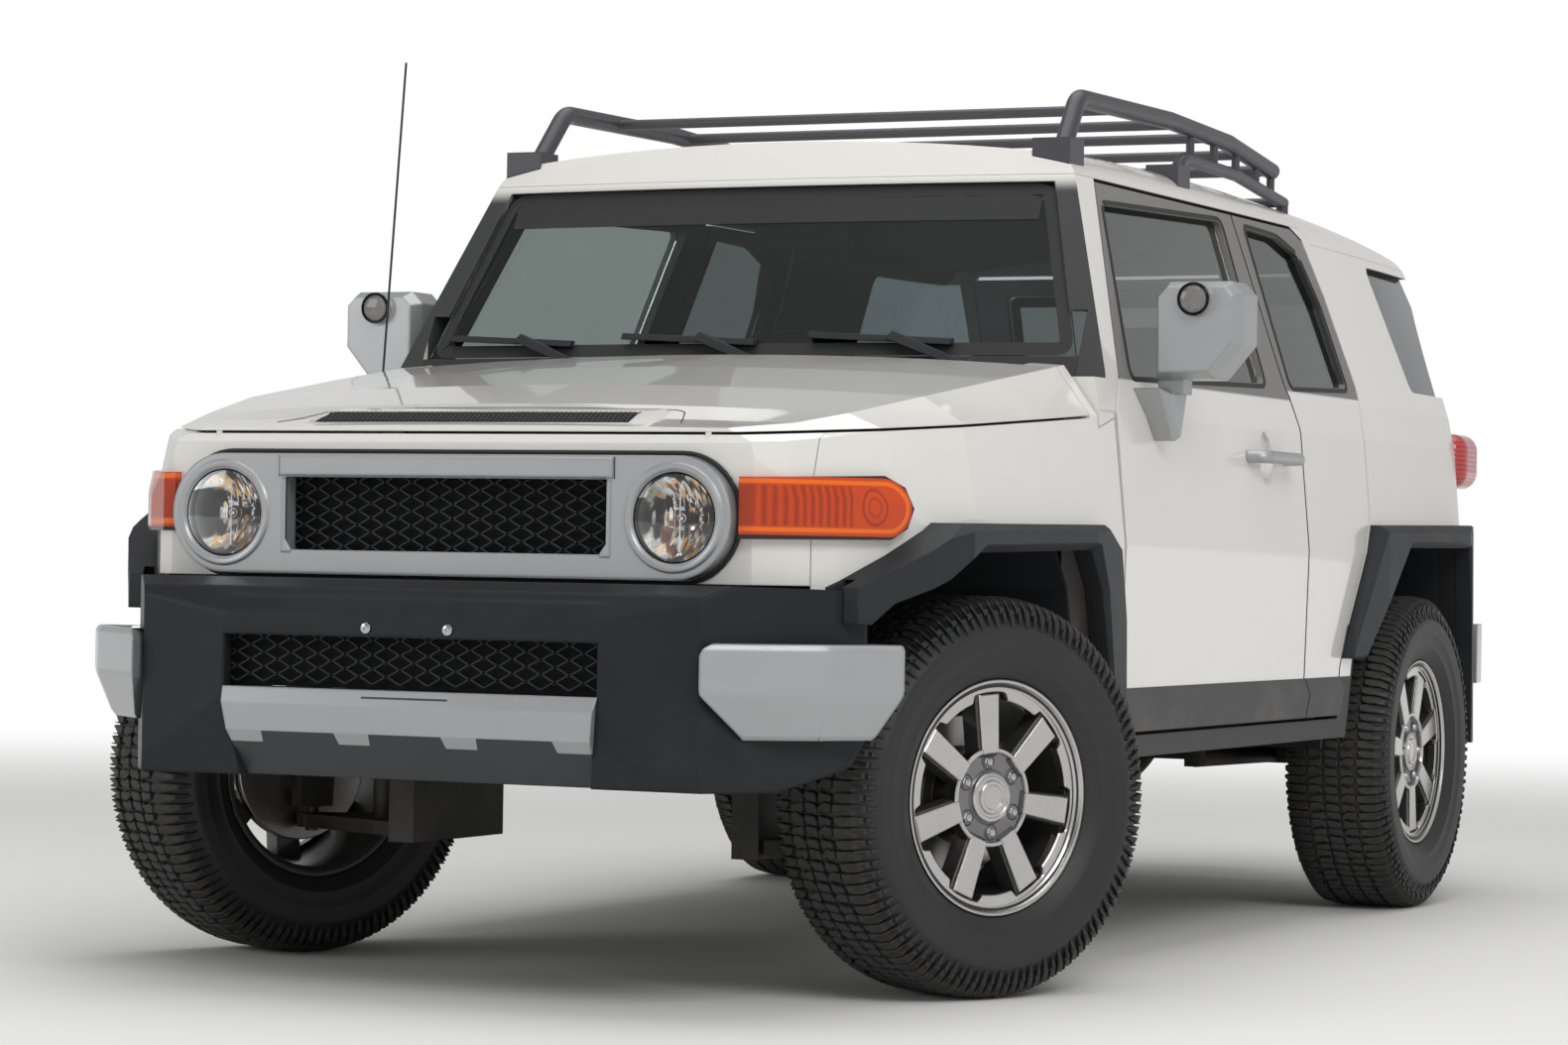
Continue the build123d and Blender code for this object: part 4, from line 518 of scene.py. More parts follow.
windshield_glass = glass("windshield_glass", (0.66, 0.75, 0.74), (0.22, 0.26, 0.28))
side_glass = glass("side_glass", (0.52, 0.56, 0.54))
privacy_glass = glass("privacy_glass", (0.20, 0.22, 0.22))
lamp_glass = glass("lamp_glass", (0.95, 0.96, 0.97))
amber = lens("amber_lens", (0.50, 0.085, 0.004), (0.88, 0.22, 0.012), "Y", 0.009)
red = lens("red_lens", (0.30, 0.010, 0.012), (0.62, 0.045, 0.050), "Z", 0.012)
clear_lens = lens("clear_lens", (0.55, 0.55, 0.57), (0.86, 0.86, 0.88), "X", 0.008, 0.4)
chrome = bright_metal("chrome", (0.70, 0.71, 0.73), (0.84, 0.85, 0.87), 0.03, 40.0)
zinc = bright_metal("zinc_bolt", (0.42, 0.42, 0.44), (0.60, 0.60, 0.62), 0.22, 300.0)
disc_steel = bright_metal("disc_steel", (0.30, 0.27, 0.25), (0.46, 0.44, 0.42), 0.30, 90.0)
print("glass and lenses ready")

# %% [markdown]
# ## Wheel finishes
# The spoke faces are cut on a lathe after painting, so they are bright, with rings of fine tool marks
# round the hub. The pockets keep dark paint. Tyre rubber is nearly black and matt, browner where it
# meets the road, with dust held in the grooves.

# %% Wheel finishes
def from_axle(place):
    """Distance of a wheel's surface point from its axle."""
    y, z = axes(place)[1:]
    return (y * y + z * z).root()


def tool_rings(radius, scale, detail):
    """Noise that changes with the radius alone, as a lathe's marks do."""
    sockets = {"W": radius, "Scale": scale, "Detail": detail}
    return radius.node("ShaderNodeTexNoise", {"noise_dimensions": "1D"}, sockets)


def machined_alloy():
    material, shader, place = surface("machined_alloy", Metallic=1.0, Coat_Weight=0.3, Coat_Roughness=0.08)
    rings = tool_rings(from_axle(place), 1500.0, 2.0)
    cloud = noise(place, 10.0)
    feed(shader, "Base Color", (cloud * 0.5 + rings * 0.5).tint((0.47, 0.465, 0.46), (0.62, 0.615, 0.61)))
    feed(shader, "Roughness", rings * 0.12 + 0.20)
    soft_edges(shader, place, 0.0015, rings, 0.06, 0.0003)
    return material


def pocket_paint():
    material, shader, place = surface("pocket_paint", Metallic=0.5, Coat_Weight=0.4, Coat_Roughness=0.15)
    cloud = noise(place, 12.0, 4.0)
    feed(shader, "Base Color", cloud.tint((0.050, 0.048, 0.048), (0.085, 0.082, 0.082)))
    feed(shader, "Roughness", cloud * 0.15 + 0.33)
    soft_edges(shader, place, 0.0015, noise(place, 500.0), 0.1, 0.0003)
    return material


def hub_paint():
    material, shader, place = surface("hub_paint", Metallic=0.7, Coat_Weight=0.5, Coat_Roughness=0.12)
    cloud = noise(place, 25.0, 3.0)
    feed(shader, "Base Color", cloud.tint((0.17, 0.165, 0.17), (0.23, 0.225, 0.235)))
    feed(shader, "Roughness", cloud * 0.1 + 0.30)
    soft_edges(shader, place, 0.001)
    return material


def tyre_rubber():
    material, shader, place = surface("tyre_rubber")
    radius = from_axle(place)
    tread = radius.step(0.376, 0.394)
    groove = radius.fall(0.383, 0.389)
    grit = noise(place, 40.0, 6.0, 0.7)
    base = noise(place, 6.0, 4.0).tint((0.011, 0.011, 0.012), (0.021, 0.021, 0.022))
    worn = (tread * grit * 0.9).clamp().tint(base, (0.060, 0.057, 0.056))
    feed(shader, "Base Color", (groove * tread * grit * 0.35).clamp().tint(worn, DUST))
    feed(shader, "Roughness", tread * 0.22 + grit * 0.1 + 0.45)
    rings = tool_rings(radius, 900.0, 1.0)
    soft_edges(shader, place, 0.001, rings * 0.5 + noise(place, 800.0) * 0.5, 0.2, 0.0005)
    return material


machined = machined_alloy()
pocket = pocket_paint()
hub_coat = hub_paint()
rubber_tread = tyre_rubber()
print("wheel finishes ready")

# %% [markdown]
# ## Finishes on the CAD panels
# Each CAD node keeps its shape and gets its finish. Most follow the record's material slot, which has
# the same name as the finish or stands in the first table. A few nodes need their own, such as the
# doors with their painted masks.

# %% Dress the CAD nodes
BY_SLOT = {
    "body_paint": paint,
    "lamp_glass": clear_lens,
    "amber_lens": amber,
    "red_lens": red,
    "tinted_glass": side_glass,
    "seat_cloth": finish["cabin_plastic"],
    "tyre_rubber": rubber_tread,
    "wheel_alloy": machined,
}
BY_NODE = {
    "door_front_left": door_front_paint,
    "door_front_right": door_front_paint,
    "door_rear_left": door_rear_paint,
    "door_rear_right": door_rear_paint,
    "flares": finish["flare_plastic"],
    "front_bumper": finish["bumper_plastic"],
    "rear_bumper": finish["bumper_plastic"],
    "roof_rack": finish["rack_coat"],
    "fixed_glass": windshield_glass,
    "glass_rear_left": privacy_glass,
    "glass_rear_right": privacy_glass,
    "glass_tailgate": privacy_glass,
    "fuel_tank": finish["tank_plastic"],
    "engine_block": finish["cast_metal"],
    "floor_pan": finish["underbody_steel"],
}
for name, node in nodes.items():
    packed = node.data.materials[0].name.split(".")[0]
    chosen = BY_NODE.get(name) or BY_SLOT.get(packed) or finish[packed]
    for index in range(len(node.data.materials)):
        node.data.materials[index] = chosen
print("nodes dressed", len(nodes))

# %% [markdown]
# ## Mesh helpers
# Most pieces come from a few ways of making a form: turning a profile round an axle, raising a plate
# from an outline, and running a tube along a line. All of them are rings of points joined by quads, so
# one function makes the quads. Each helper returns plain vertices and faces, so that many small forms
# can be gathered into one mesh before an object is made.

# %% Gather forms into one piece
class Form:
    """Vertices, faces and material slots of one piece, gathered form by form."""

    def __init__(self):
        self.points = []
        self.faces = []
        self.slots = []

    def add(self, points, faces, slot=0, place=None):
        """Adds points and faces, moved by the matrix place if there is one."""
        start = len(self.points)
        self.points += [tuple(place @ Vector(p) if place else p) for p in points]
        self.faces += [tuple(start + i for i in face) for face in faces]
        self.slots += [slot] * len(faces)

    def mesh(self, name, materials, smooth_angle=35.0):
        made = bpy.data.meshes.new(name)
        made.from_pydata(self.points, [], self.faces)
        for material in materials:
            made.materials.append(material)
        made.polygons.foreach_set("material_index", self.slots)
        made.validate()
        made.shade_smooth()
        made.set_sharp_from_angle(angle=math.radians(smooth_angle))
        made.update()
        return made


def piece(name, form, materials, body, smooth_angle=35.0):
    """One object made of a form, riding on a body."""
    made = placed(name, form.mesh(name, materials, smooth_angle), Matrix())
    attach(made, body)
    return made


def quads(rings, count, wrap=True, close=False):
    """Faces between rings of count points. Wrap joins a ring's ends, close the last ring to the first."""
    faces = []
    for k in range(rings if close else rings - 1):
        here, after = k * count, (k + 1) % rings * count
        for i in range(count if wrap else count - 1):
            j = (i + 1) % count
            faces.append((here + i, here + j, after + j, after + i))
    return faces


def around(x, radius, angle):
    """A point at an angle round the X axis."""
    return x, radius * math.cos(angle), radius * math.sin(angle)


def about_x(angle):
    return Matrix.Rotation(angle, 4, "X")


print("gathering ready")


# %% Ways of making a form
def turned(profile, count, closed=False):
    """Profile of (x, radius) turned round the X axis. A closed profile joins its last point to its first."""
    points = [around(x, r, 2 * math.pi * k / count) for k in range(count) for x, r in profile]
    return points, quads(count, len(profile), closed, True)


def shrunk(outline, by):
    """Outline moved inwards by a distance, corners kept."""
    count = len(outline)
    area = sum(outline[i - 1][0] * outline[i][1] - outline[i][0] * outline[i - 1][1] for i in range(count))
    sign = 1 if area > 0 else -1
    moved = []
    for i in range(count):
        before, here, after = (Vector(outline[k % count]) for k in (i - 1, i, i + 1))
        into, out = (here - before).normalized(), (after - here).normalized()
        reach = sign * by / max(0.3, 1 + into.dot(out))
        moved.append((here.x - reach * (into.y + out.y), here.y + reach * (into.x + out.x)))
    return moved


def plate(outline, low, high, edge=0.0, put=None):
    """A plate of (a, b) points from x = low to x = high, its top edge cut back by edge. Put is a function
    that gives each point another place."""
    levels = [(low, outline), (high - edge, outline)]
    if edge:
        levels.append((high, shrunk(outline, edge)))
    count, top = len(outline), len(levels) - 1
    points = [(x, a, b) for x, ring in levels for a, b in ring]
    faces = [tuple(range(count))[::-1], tuple(range(top * count, (top + 1) * count))]
    if put:
        points = [put(*p) for p in points]
    return points, faces + quads(len(levels), count)


def box_outline(low_a, high_a, low_b, high_b):
    return [(low_a, low_b), (high_a, low_b), (high_a, high_b), (low_a, high_b)]


def tube(points, radius, sides=10, closed=False, caps=True):
    """A round tube along a line of points, its rings turned as little as possible."""
    line = [Vector(p) for p in points]
    count = len(line)
    flat = []
    normal = None
    for k in range(count):
        ahead = line[(k + 1) % count] if closed or k < count - 1 else line[k]
        behind = line[k - 1] if closed or k > 0 else line[k]
        along = (ahead - behind).normalized()
        if normal is None:
            normal = along.orthogonal().normalized()
        normal = (normal - along * normal.dot(along)).normalized()
        side = along.cross(normal)
        for i in range(sides):
            angle = 2 * math.pi * i / sides
            flat.append(line[k] + (normal * math.cos(angle) + side * math.sin(angle)) * radius)
    faces = quads(count, sides, close=closed)
    if caps and not closed:
        faces.append(tuple(range(sides))[::-1])
        faces.append(tuple(range((count - 1) * sides, count * sides)))
    return flat, faces


print("helpers ready")

# %% [markdown]
# ## Tyres
# An all-terrain tyre has a smooth sidewall, a round shoulder and about fifty repeats of a block
# pattern. One tyre is made round the X axis, and the five wheels take copies of it. The carcass is
# turned from a profile. The blocks are short plates bent round the tyre, with a bevelled top edge. Two
# rows of chunky lugs reach down over each shoulder, long and short in turn, as on the real tyre. The
# sidewalls carry only plain ribs, and no lettering.

# %% Tyre carcass
TYRE_RADIUS = 0.396
TREAD_DEPTH = 0.011
PITCHES = 54
# x, radius of the tyre's outer envelope, from the crown to the end of the tread
ENVELOPE = ((0.0, 0.396), (0.0825, 0.396), (0.1105, 0.39), (0.1285, 0.364))
# x, radius of the carcass from its crown to the bead
HALF_PROFILE = (
    (0.0, 0.3845), (0.045, 0.3845), (0.085, 0.3835), (0.104, 0.38), (0.1165, 0.366), (0.1235, 0.35),
    (0.1285, 0.338), (0.1312, 0.334), (0.1322, 0.33), (0.1318, 0.318), (0.1298, 0.302), (0.13, 0.3),
    (0.1284, 0.296), (0.1258, 0.28), (0.1238, 0.268), (0.1246, 0.265), (0.123, 0.2615), (0.116, 0.25),
    (0.111, 0.243), (0.108, 0.238), (0.104, 0.235), (0.1, 0.233), (0.1, 0.217),
)


def envelope_radius(x):
    for (x0, r0), (x1, r1) in zip(ENVELOPE, ENVELOPE[1:]):
        if x <= x1:
            return r0 + (r1 - r0) * (x - x0) / (x1 - x0)
    return ENVELOPE[-1][1]


tyre_form = Form()
carcass = [(-x, r) for x, r in reversed(HALF_PROFILE)] + list(HALF_PROFILE[1:])
tyre_form.add(*turned(carcass, 108))
print("carcass faces", len(tyre_form.faces))


# %% Tread blocks
PITCH = 2 * math.pi * TYRE_RADIUS / PITCHES
BLOCK_FOOT = TREAD_DEPTH + 0.002
BLOCK_EDGE = 0.0016
# blocks of one pitch: outlines of (x in metres, arc as a share of the pitch)
CENTRE_BLOCKS = (
    ((-0.017, 0.04), (0.01, 0.1), (0.017, 0.28), (0.014, 0.5), (-0.012, 0.44), (-0.019, 0.26)),
    ((-0.014, 0.5), (0.012, 0.56), (0.019, 0.74), (0.017, 0.95), (-0.01, 0.9), (-0.017, 0.72)),
)
MIDDLE_BLOCKS = (
    (
        (0.025, 0.02), (0.044, 0.12), (0.05, 0.1), (0.058, 0.2),
        (0.056, 0.44), (0.04, 0.4), (0.03, 0.5), (0.023, 0.34),
    ),
    (
        (0.032, 0.55), (0.042, 0.46), (0.058, 0.52), (0.06, 0.8),
        (0.048, 0.92), (0.03, 0.84), (0.024, 0.98), (0.022, 0.7),
    ),
)
SHOULDER_BLOCKS = (
    (
        (0.067, 0.06), (0.088, 0.02), (0.1105, 0.04), (0.1225, 0.08),
        (0.1225, 0.36), (0.1105, 0.42), (0.086, 0.44), (0.072, 0.34),
    ),
    (
        (0.065, 0.52), (0.086, 0.5), (0.1105, 0.52), (0.1265, 0.56),
        (0.1265, 0.86), (0.1105, 0.92), (0.088, 0.94), (0.066, 0.86),
    ),
)


def half_pitch(side):
    """One side's pattern runs half a pitch behind the other's."""
    return 0.5 * PITCH if side < 0 else 0.0


def block_on_tyre(outline, side):
    """A tread block: an outline of (x, arc) bent round the tyre and raised to its envelope."""
    levels = ((BLOCK_FOOT, outline), (BLOCK_EDGE, outline), (0.0, shrunk(outline, BLOCK_EDGE)))
    points = []
    for depth, ring in levels:
        points += [around(side * x, envelope_radius(abs(x)) - depth, arc / TYRE_RADIUS) for x, arc in ring]
    count = len(outline)
    faces = [tuple(range(2 * count, 3 * count))] + quads(3, count)
    return points, [face[::-1] for face in faces] if side < 0 else faces


blocks = []
for rows, sides in ((CENTRE_BLOCKS, (1,)), (MIDDLE_BLOCKS, (1, -1)), (SHOULDER_BLOCKS, (1, -1))):
    for outline in rows:
        for side in sides:
            blocks.append(block_on_tyre([(x, arc * PITCH + half_pitch(side)) for x, arc in outline], side))
print("blocks in a pitch", len(blocks))

# %% Side lugs
# radius at the top, radius at the foot, from and to as shares of a pitch
SIDE_LUGS = ((0.3640, 0.3440, 0.10, 0.34), (0.3600, 0.3370, 0.58, 0.84))
# how far each level of a lug stands out, and how far it is cut back
LUG_LEVELS = ((-0.0072, 0.0), (-0.0012, 0.0), (0.0006, 0.0012))
UPPER_WALL, LOWER_WALL = 0.1285, 0.1312
LUG_NARROWING = 0.06
LUG_FACES = [(8, 9, 11, 10)]
for a, b in ((0, 1), (1, 3), (3, 2), (2, 0)):
    LUG_FACES += [(a, b, b + 4, a + 4), (a + 4, b + 4, b + 8, a + 8)]
for top, foot, begin, end in SIDE_LUGS:
    for side in (1, -1):
        points = []
        for proud, trim in LUG_LEVELS:
            for radius, wall, narrow in ((top, UPPER_WALL, 0.0), (foot + trim, LOWER_WALL, LUG_NARROWING)):
                for share, back in ((begin + narrow, trim), (end - narrow, -trim)):
                    arc = share * PITCH + half_pitch(side) + back
                    points.append(around(side * (wall + proud), radius, arc / TYRE_RADIUS))
        blocks.append((points, [face[::-1] for face in LUG_FACES] if side > 0 else LUG_FACES))
for k in range(PITCHES):
    for points, faces in blocks:
        tyre_form.add(points, faces, place=about_x(2 * math.pi * k / PITCHES))
tyre_mesh = tyre_form.mesh("tyre_all_terrain", [rubber_tread], 28.0)
print("tyre faces", len(tyre_mesh.polygons))

# %% [markdown]
# ## Wheels
# The wheel is a cast seven-spoke alloy. Its spokes are flat bars with crisp edges, machined bright,
# and a ring round the rim has short tabs that reach in between them. Behind the bright faces all is
# dark paint. The hub cup is a darker silver, with six nuts in deep holes round a stepped, plain cap.
# Every bright face is a plate with a bevelled edge, so it catches light along its border.

# %% Rim
SPOKES = 7
MACHINED, POCKET, HUB, NUT, VALVE, DISC = range(6)
RIM_FINISHES = [machined, pocket, hub_coat, zinc, finish["rubber"], disc_steel]
SPOKE_FACE = 0.090
BARREL = (
    (-0.1057, 0.2315), (-0.106, 0.2255), (-0.1035, 0.22), (-0.096, 0.212), (-0.07, 0.205),
    (0.02, 0.202), (0.076, 0.206), (0.084, 0.212), (0.096, 0.219),
)
LIP = (
    (0.0935, 0.215), (0.0985, 0.2215), (0.101, 0.224), (0.105, 0.2262), (0.1063, 0.229),
    (0.1058, 0.2318), (0.1012, 0.232),
)
BACK_EDGE = ((-0.1012, 0.232), (-0.1057, 0.2315))
rim_form = Form()
rim_form.add(*turned(BARREL, 84), POCKET)
rim_form.add(*turned(LIP, 112), MACHINED)
rim_form.add(*turned(BACK_EDGE, 84), MACHINED)

SPOKE_STEP = 2 * math.pi / SPOKES
FIRST_SPOKE = math.pi / 2
CUT_HALF_ANGLE, CUT_BLEND = math.radians(11.5), math.radians(2.6)
CUT_RADIUS, TAB_DEPTH = 0.2075, 0.0155


def ring_inner(angle):
    """Inner radius of the bright ring: cut back round each spoke's tip, with a tab between the spokes."""
    from_spoke = abs((angle - FIRST_SPOKE + SPOKE_STEP / 2) % SPOKE_STEP - SPOKE_STEP / 2)
    return CUT_RADIUS - TAB_DEPTH * min(1.0, max(0.0, from_spoke - CUT_HALF_ANGLE) / CUT_BLEND)


RING_LOW, RING_HIGH, RING_OUTER, RING_EDGE, RING_STEPS = 0.072, 0.0935, 0.2175, 0.0022, 336
ring_points = []
for k in range(RING_STEPS):
    angle = 2 * math.pi * k / RING_STEPS
    inner = ring_inner(angle)
    ring_points += [
        around(RING_LOW, inner + RING_EDGE * 0.2, angle),
        around(RING_HIGH - RING_EDGE, inner, angle),
        around(RING_HIGH, inner + RING_EDGE, angle),
        around(RING_HIGH, RING_OUTER - RING_EDGE * 0.4, angle),
        around(RING_HIGH - RING_EDGE, RING_OUTER, angle),
    ]
rim_form.add(ring_points, quads(RING_STEPS, 5, wrap=False, close=True), MACHINED)

# low, high, radius and half width at the hub, the same at the rim, edge, slot
SPOKE_LAYERS = (
    (0.040, SPOKE_FACE - 0.006, (0.080, 0.0240), (0.2075, 0.0310), 0.004, POCKET),
    (SPOKE_FACE - 0.0070, SPOKE_FACE, (0.086, 0.0215), (0.2035, 0.0270), 0.0022, MACHINED),
)
for k in range(SPOKES):
    for low, high, (r_in, half_in), (r_out, half_out), edge, slot in SPOKE_LAYERS:
        outline = [(r_in, -half_in), (r_out, -half_out), (r_out, half_out), (r_in, half_in)]
        rim_form.add(*plate(outline, low, high, edge), slot, about_x(FIRST_SPOKE + SPOKE_STEP * k))
print("rim faces", len(rim_form.faces))

# %% Hub, nuts and cap
NUTS = 6
PITCH_CIRCLE = 0.06985
NUT_SIZE = 0.0105
HUB_RING = (
    (0.062, 0.1), (0.0868, 0.0985), (0.0893, 0.0965), (0.0893, 0.0905), (0.0872, 0.089), (0.08, 0.0882),
)
HUB_CUP = ((0.08, 0.0882), (0.079, 0.086), (0.0795, 0.056), (0.077, 0.052), (0.077, 0.03))
CAP = (
    (0.077, 0.05), (0.086, 0.049), (0.088, 0.0472), (0.089, 0.042), (0.0868, 0.04), (0.0868, 0.0345),
    (0.0905, 0.033), (0.0918, 0.031), (0.0918, 0.025), (0.0895, 0.023), (0.0898, 0.012), (0.09, 0.0001),
)
HUB_CORE = ((0.012, 0.06), (0.04, 0.064), (0.064, 0.09))
NUT_WELL = ((0.0797, 0.0165), (0.0812, 0.015), (0.0803, 0.0138), (0.07, 0.0132), (0.07, 0.0001))
NUT_DOME = ((0.0835, 0.0085), (0.0868, 0.007), (0.0882, 0.004), (0.0884, 0.0001))
rim_form.add(*turned(HUB_RING, 84), MACHINED)
rim_form.add(*turned(HUB_CUP, 84), HUB)
rim_form.add(*turned(CAP, 56), MACHINED)
rim_form.add(*turned(HUB_CORE, 56), POCKET)
hexagon = [around(0, NUT_SIZE, math.radians(60 * i))[1:] for i in range(6)]
for k in range(NUTS):
    at_nut = Matrix.Translation(around(0, PITCH_CIRCLE, 2 * math.pi * (k + 0.5) / NUTS))
    rim_form.add(*turned(NUT_WELL, 20), POCKET, at_nut)
    rim_form.add(*plate(hexagon, 0.0700, 0.0835, 0.0015), NUT, at_nut)
    rim_form.add(*turned(NUT_DOME, 16), NUT, at_nut)
VALVE_ANGLE = 2.35
rim_form.add(*tube([around(0.066, 0.196, VALVE_ANGLE), around(0.088, 0.178, VALVE_ANGLE)], 0.0042), VALVE)
spare_rim_mesh = rim_form.mesh("rim_bare", RIM_FINISHES, 30.0)
print("hub done")

# %% Disc
VANES = 36
DISC_PROFILE = (
    (-0.034, 0.06), (-0.034, 0.156), (-0.0325, 0.1585), (-0.0255, 0.1585), (-0.0255, 0.152), (-0.0165, 0.152),
    (-0.0165, 0.1585), (-0.0095, 0.1585), (-0.008, 0.156), (-0.008, 0.098), (0.01, 0.09), (0.012, 0.06),
)
rim_form.add(*turned(DISC_PROFILE, 84, closed=True), DISC)
for k in range(VANES):
    vane = plate(box_outline(0.100, 0.154, -0.002, 0.002), -0.0262, -0.0158)
    rim_form.add(*vane, DISC, about_x(2 * math.pi * k / VANES))
rim_mesh = rim_form.mesh("rim_with_disc", RIM_FINISHES, 30.0)
print("rim faces", len(rim_mesh.polygons))

# %% [markdown]
# ## Placing the five wheels
# Each wheel is a copy of the same tyre and rim, turned about its axle by another amount, as wheels
# come to rest. That turn goes into the copied mesh, since a box drawn round a turned object would
# stand out past the tyre. The front pair is steered, as in the photograph, and each wheel's centre is
# read from its CAD node.

# %% Place wheels
STEER = -25.0
# corner, turn about Z in degrees, turn about the axle in degrees
WHEELS = (
    ("front_left", STEER, 4.0),
    ("front_right", STEER + 180, 20.0),
    ("rear_left", 0.0, 31.0),
    ("rear_right", 180.0, 12.0),
    ("spare", 90.0, 7.0),
)
body_of = {}
for body_name, members in frame["record"]["behaviour"]["bodies"].items():
    for member in members:
        body_of[member] = body_name
for corner, turn, roll in WHEELS:
    low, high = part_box(f"tyre_{corner}")
    stand = Matrix.Translation((low + high) / 2) @ Matrix.Rotation(math.radians(turn), 4, "Z")
    for kind, mesh in (("tyre", tyre_mesh), ("rim", spare_rim_mesh if corner == "spare" else rim_mesh)):
        node = f"{kind}_{corner}"
        rolled = mesh.copy()
        rolled.name = f"{node}_mesh"
        rolled.transform(about_x(math.radians(roll)))
        made = placed(f"{node}_dressed", rolled, stand)
        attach(made, body_of[node])
        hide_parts(node)
        "tyre_rubber" if kind == "tyre" else "wheel_alloy"
print("wheels placed", len(WHEELS))

# %% [markdown]
# ## Headlamps
# A round headlamp is a chrome bowl pressed into narrow upright facets, with a bulb at its centre, a
# small amber glass beside it and a thin fin between the two halves. A clear domed lens closes it. The
# silver surround rolls inwards round the lens as a thick bezel. Every ring is a turned profile, so a
# lamp is built round X and then swung to face forwards.

# %% Lamp finishes
LAMP_X = 0.495
LAMP_Z = 0.931
FACE_Y = st(-728.3)
black_gloss = bright_metal("lamp_black", (0.010, 0.010, 0.011), (0.022, 0.022, 0.024), 0.18, 60.0)


def lamp_chrome():
    """Bright plating, with painted amber glints: a painted reflection of the amber glass in the bowl."""
    material, shader, place = surface("lamp_chrome", Metallic=1.0)
    across = abs(axes(place)[0]) - LAMP_X
    streak = noise(place, 48.0, 1.0, 0.5, (2.0, 1.0, 0.30))
    # painted reflection: amber glints on the bowl where it would mirror the amber glass
    painted_amber_glint = streak.step(0.54, 0.58) * across.step(-0.030, -0.020) * 0.8
    clouds = noise(place, 44.0, 1.0, 0.5, (1.8, 1.0, 0.4)).step(0.38, 0.54)
    plating = clouds.tint((0.78, 0.79, 0.81), (1.0, 1.0, 1.0))
    feed(shader, "Base Color", painted_amber_glint.tint(plating, (1.0, 0.60, 0.16)))
    feed(shader, "Roughness", streak * 0.08 + 0.04)
    return material


bowl_chrome = lamp_chrome()
print("lamp finishes", black_gloss.name, bowl_chrome.name)


# %% Lamp forms
BOWL_RADIUS, BOWL_DEPTH = 0.0835, 0.078
BOWL_HOLE = 0.012
BOWL_COLUMNS, BOWL_ROWS = 72, 14
FACET_WIDTH, FACET_FOLD = 0.017, 0.012


def forwards(x, y, z):
    """Swings a form built towards +X to face forwards, and sets it in its place."""
    return Matrix.Translation((x, y, z)) @ Matrix.Rotation(-math.pi / 2, 4, "Z")


def bowl():
    """A paraboloid cut into upright facets that step in and out."""
    points = []
    for i in range(BOWL_ROWS + 1):
        r = BOWL_HOLE + (BOWL_RADIUS - BOWL_HOLE) * i / BOWL_ROWS
        for k in range(BOWL_COLUMNS):
            a, b = around(0, r, 2 * math.pi * k / BOWL_COLUMNS)[1:]
            fold = FACET_FOLD * (abs((a / FACET_WIDTH) % 1.0 - 0.5) - 0.25)
            x = BOWL_DEPTH * (0.86 * (r / BOWL_RADIUS) ** 2 - 1)
            points.append((x + fold * (1 - i / BOWL_ROWS), a, b))
    return points, quads(BOWL_ROWS + 1, BOWL_COLUMNS)


def ball(radius, stretch=1.0):
    arcs = [math.pi * i / 12 for i in range(13)]
    return turned([(radius * stretch * math.cos(t), max(1e-5, radius * math.sin(t))) for t in arcs], 20)


print("lamp forms ready")

# %% Headlamps
BOWL, AMBER, LENS, BLACK = range(4)
BULB_SHIELD = ((-0.078, 0.013), (-0.06, 0.013), (-0.058, 0.009), (-0.05, 0.009), (-0.046, 0.0001))
BULB_RING = ((-0.04, 0.0135), (-0.034, 0.015), (-0.03, 0.0125))
LAMP_RIM = ((-0.011, 0.0835), (-0.0105, 0.0862), (-0.002, 0.0868), (-0.0012, 0.0845), (-0.0105, 0.0815))
DOME = ((-0.004, 0.085), (-0.001, 0.083), (0.0012, 0.07), (0.003, 0.045), (0.004, 0.02), (0.0042, 0.0001))
DOME_WALL = 0.003
DOME_BACK = [(x - DOME_WALL, r) for x, r in reversed(DOME[1:])] + [(-0.007, 0.0845)]
BEZEL = ((-0.02, 0.0865), (-0.004, 0.0872), (0.003, 0.0905), (0.0058, 0.096), (0.0052, 0.101), (0.0, 0.105))
BULB_X, BULB_RADIUS, BULB_STRETCH = -0.04, 0.0125, 1.3
TURN_BULB_RADIUS, TURN_BULB_ASIDE, TURN_BULB_DROP = 0.006, 0.026, 0.01
FIN, FIN_BACK, FIN_FRONT = box_outline(-0.0016, 0.0016, -0.064, 0.064), -0.06, -0.024
lamp_form, bezel_form = Form(), Form()
for side in (1, -1):
    at_lamp = forwards(side * LAMP_X, FACE_Y, LAMP_Z)
    bulb = at_lamp @ Matrix.Translation((BULB_X, 0, 0))
    turn_bulb = at_lamp @ Matrix.Translation((BULB_X, -side * TURN_BULB_ASIDE, -TURN_BULB_DROP))
    lamp_form.add(*bowl(), BOWL, at_lamp)
    lamp_form.add(*turned(BULB_SHIELD, 24), BLACK, at_lamp)
    lamp_form.add(*ball(BULB_RADIUS, BULB_STRETCH), BOWL, bulb)
    lamp_form.add(*ball(TURN_BULB_RADIUS), AMBER, turn_bulb)
    lamp_form.add(*turned(BULB_RING, 24), BLACK, at_lamp)
    lamp_form.add(*plate(FIN, FIN_BACK, FIN_FRONT), BOWL, at_lamp)
    lamp_form.add(*turned(LAMP_RIM, 96), BLACK, at_lamp)
    lamp_form.add(*turned(list(DOME) + DOME_BACK, 96), LENS, at_lamp)
    bezel_form.add(*turned(BEZEL, 96), place=at_lamp)
headlamps = piece("headlamp_units", lamp_form, [bowl_chrome, amber, lamp_glass, black_gloss], "root", 24.0)
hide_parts("headlamps")
piece("headlamp_bezels", bezel_form, [finish["silver_paint"]], "root")
print("headlamp faces", len(lamp_form.faces))
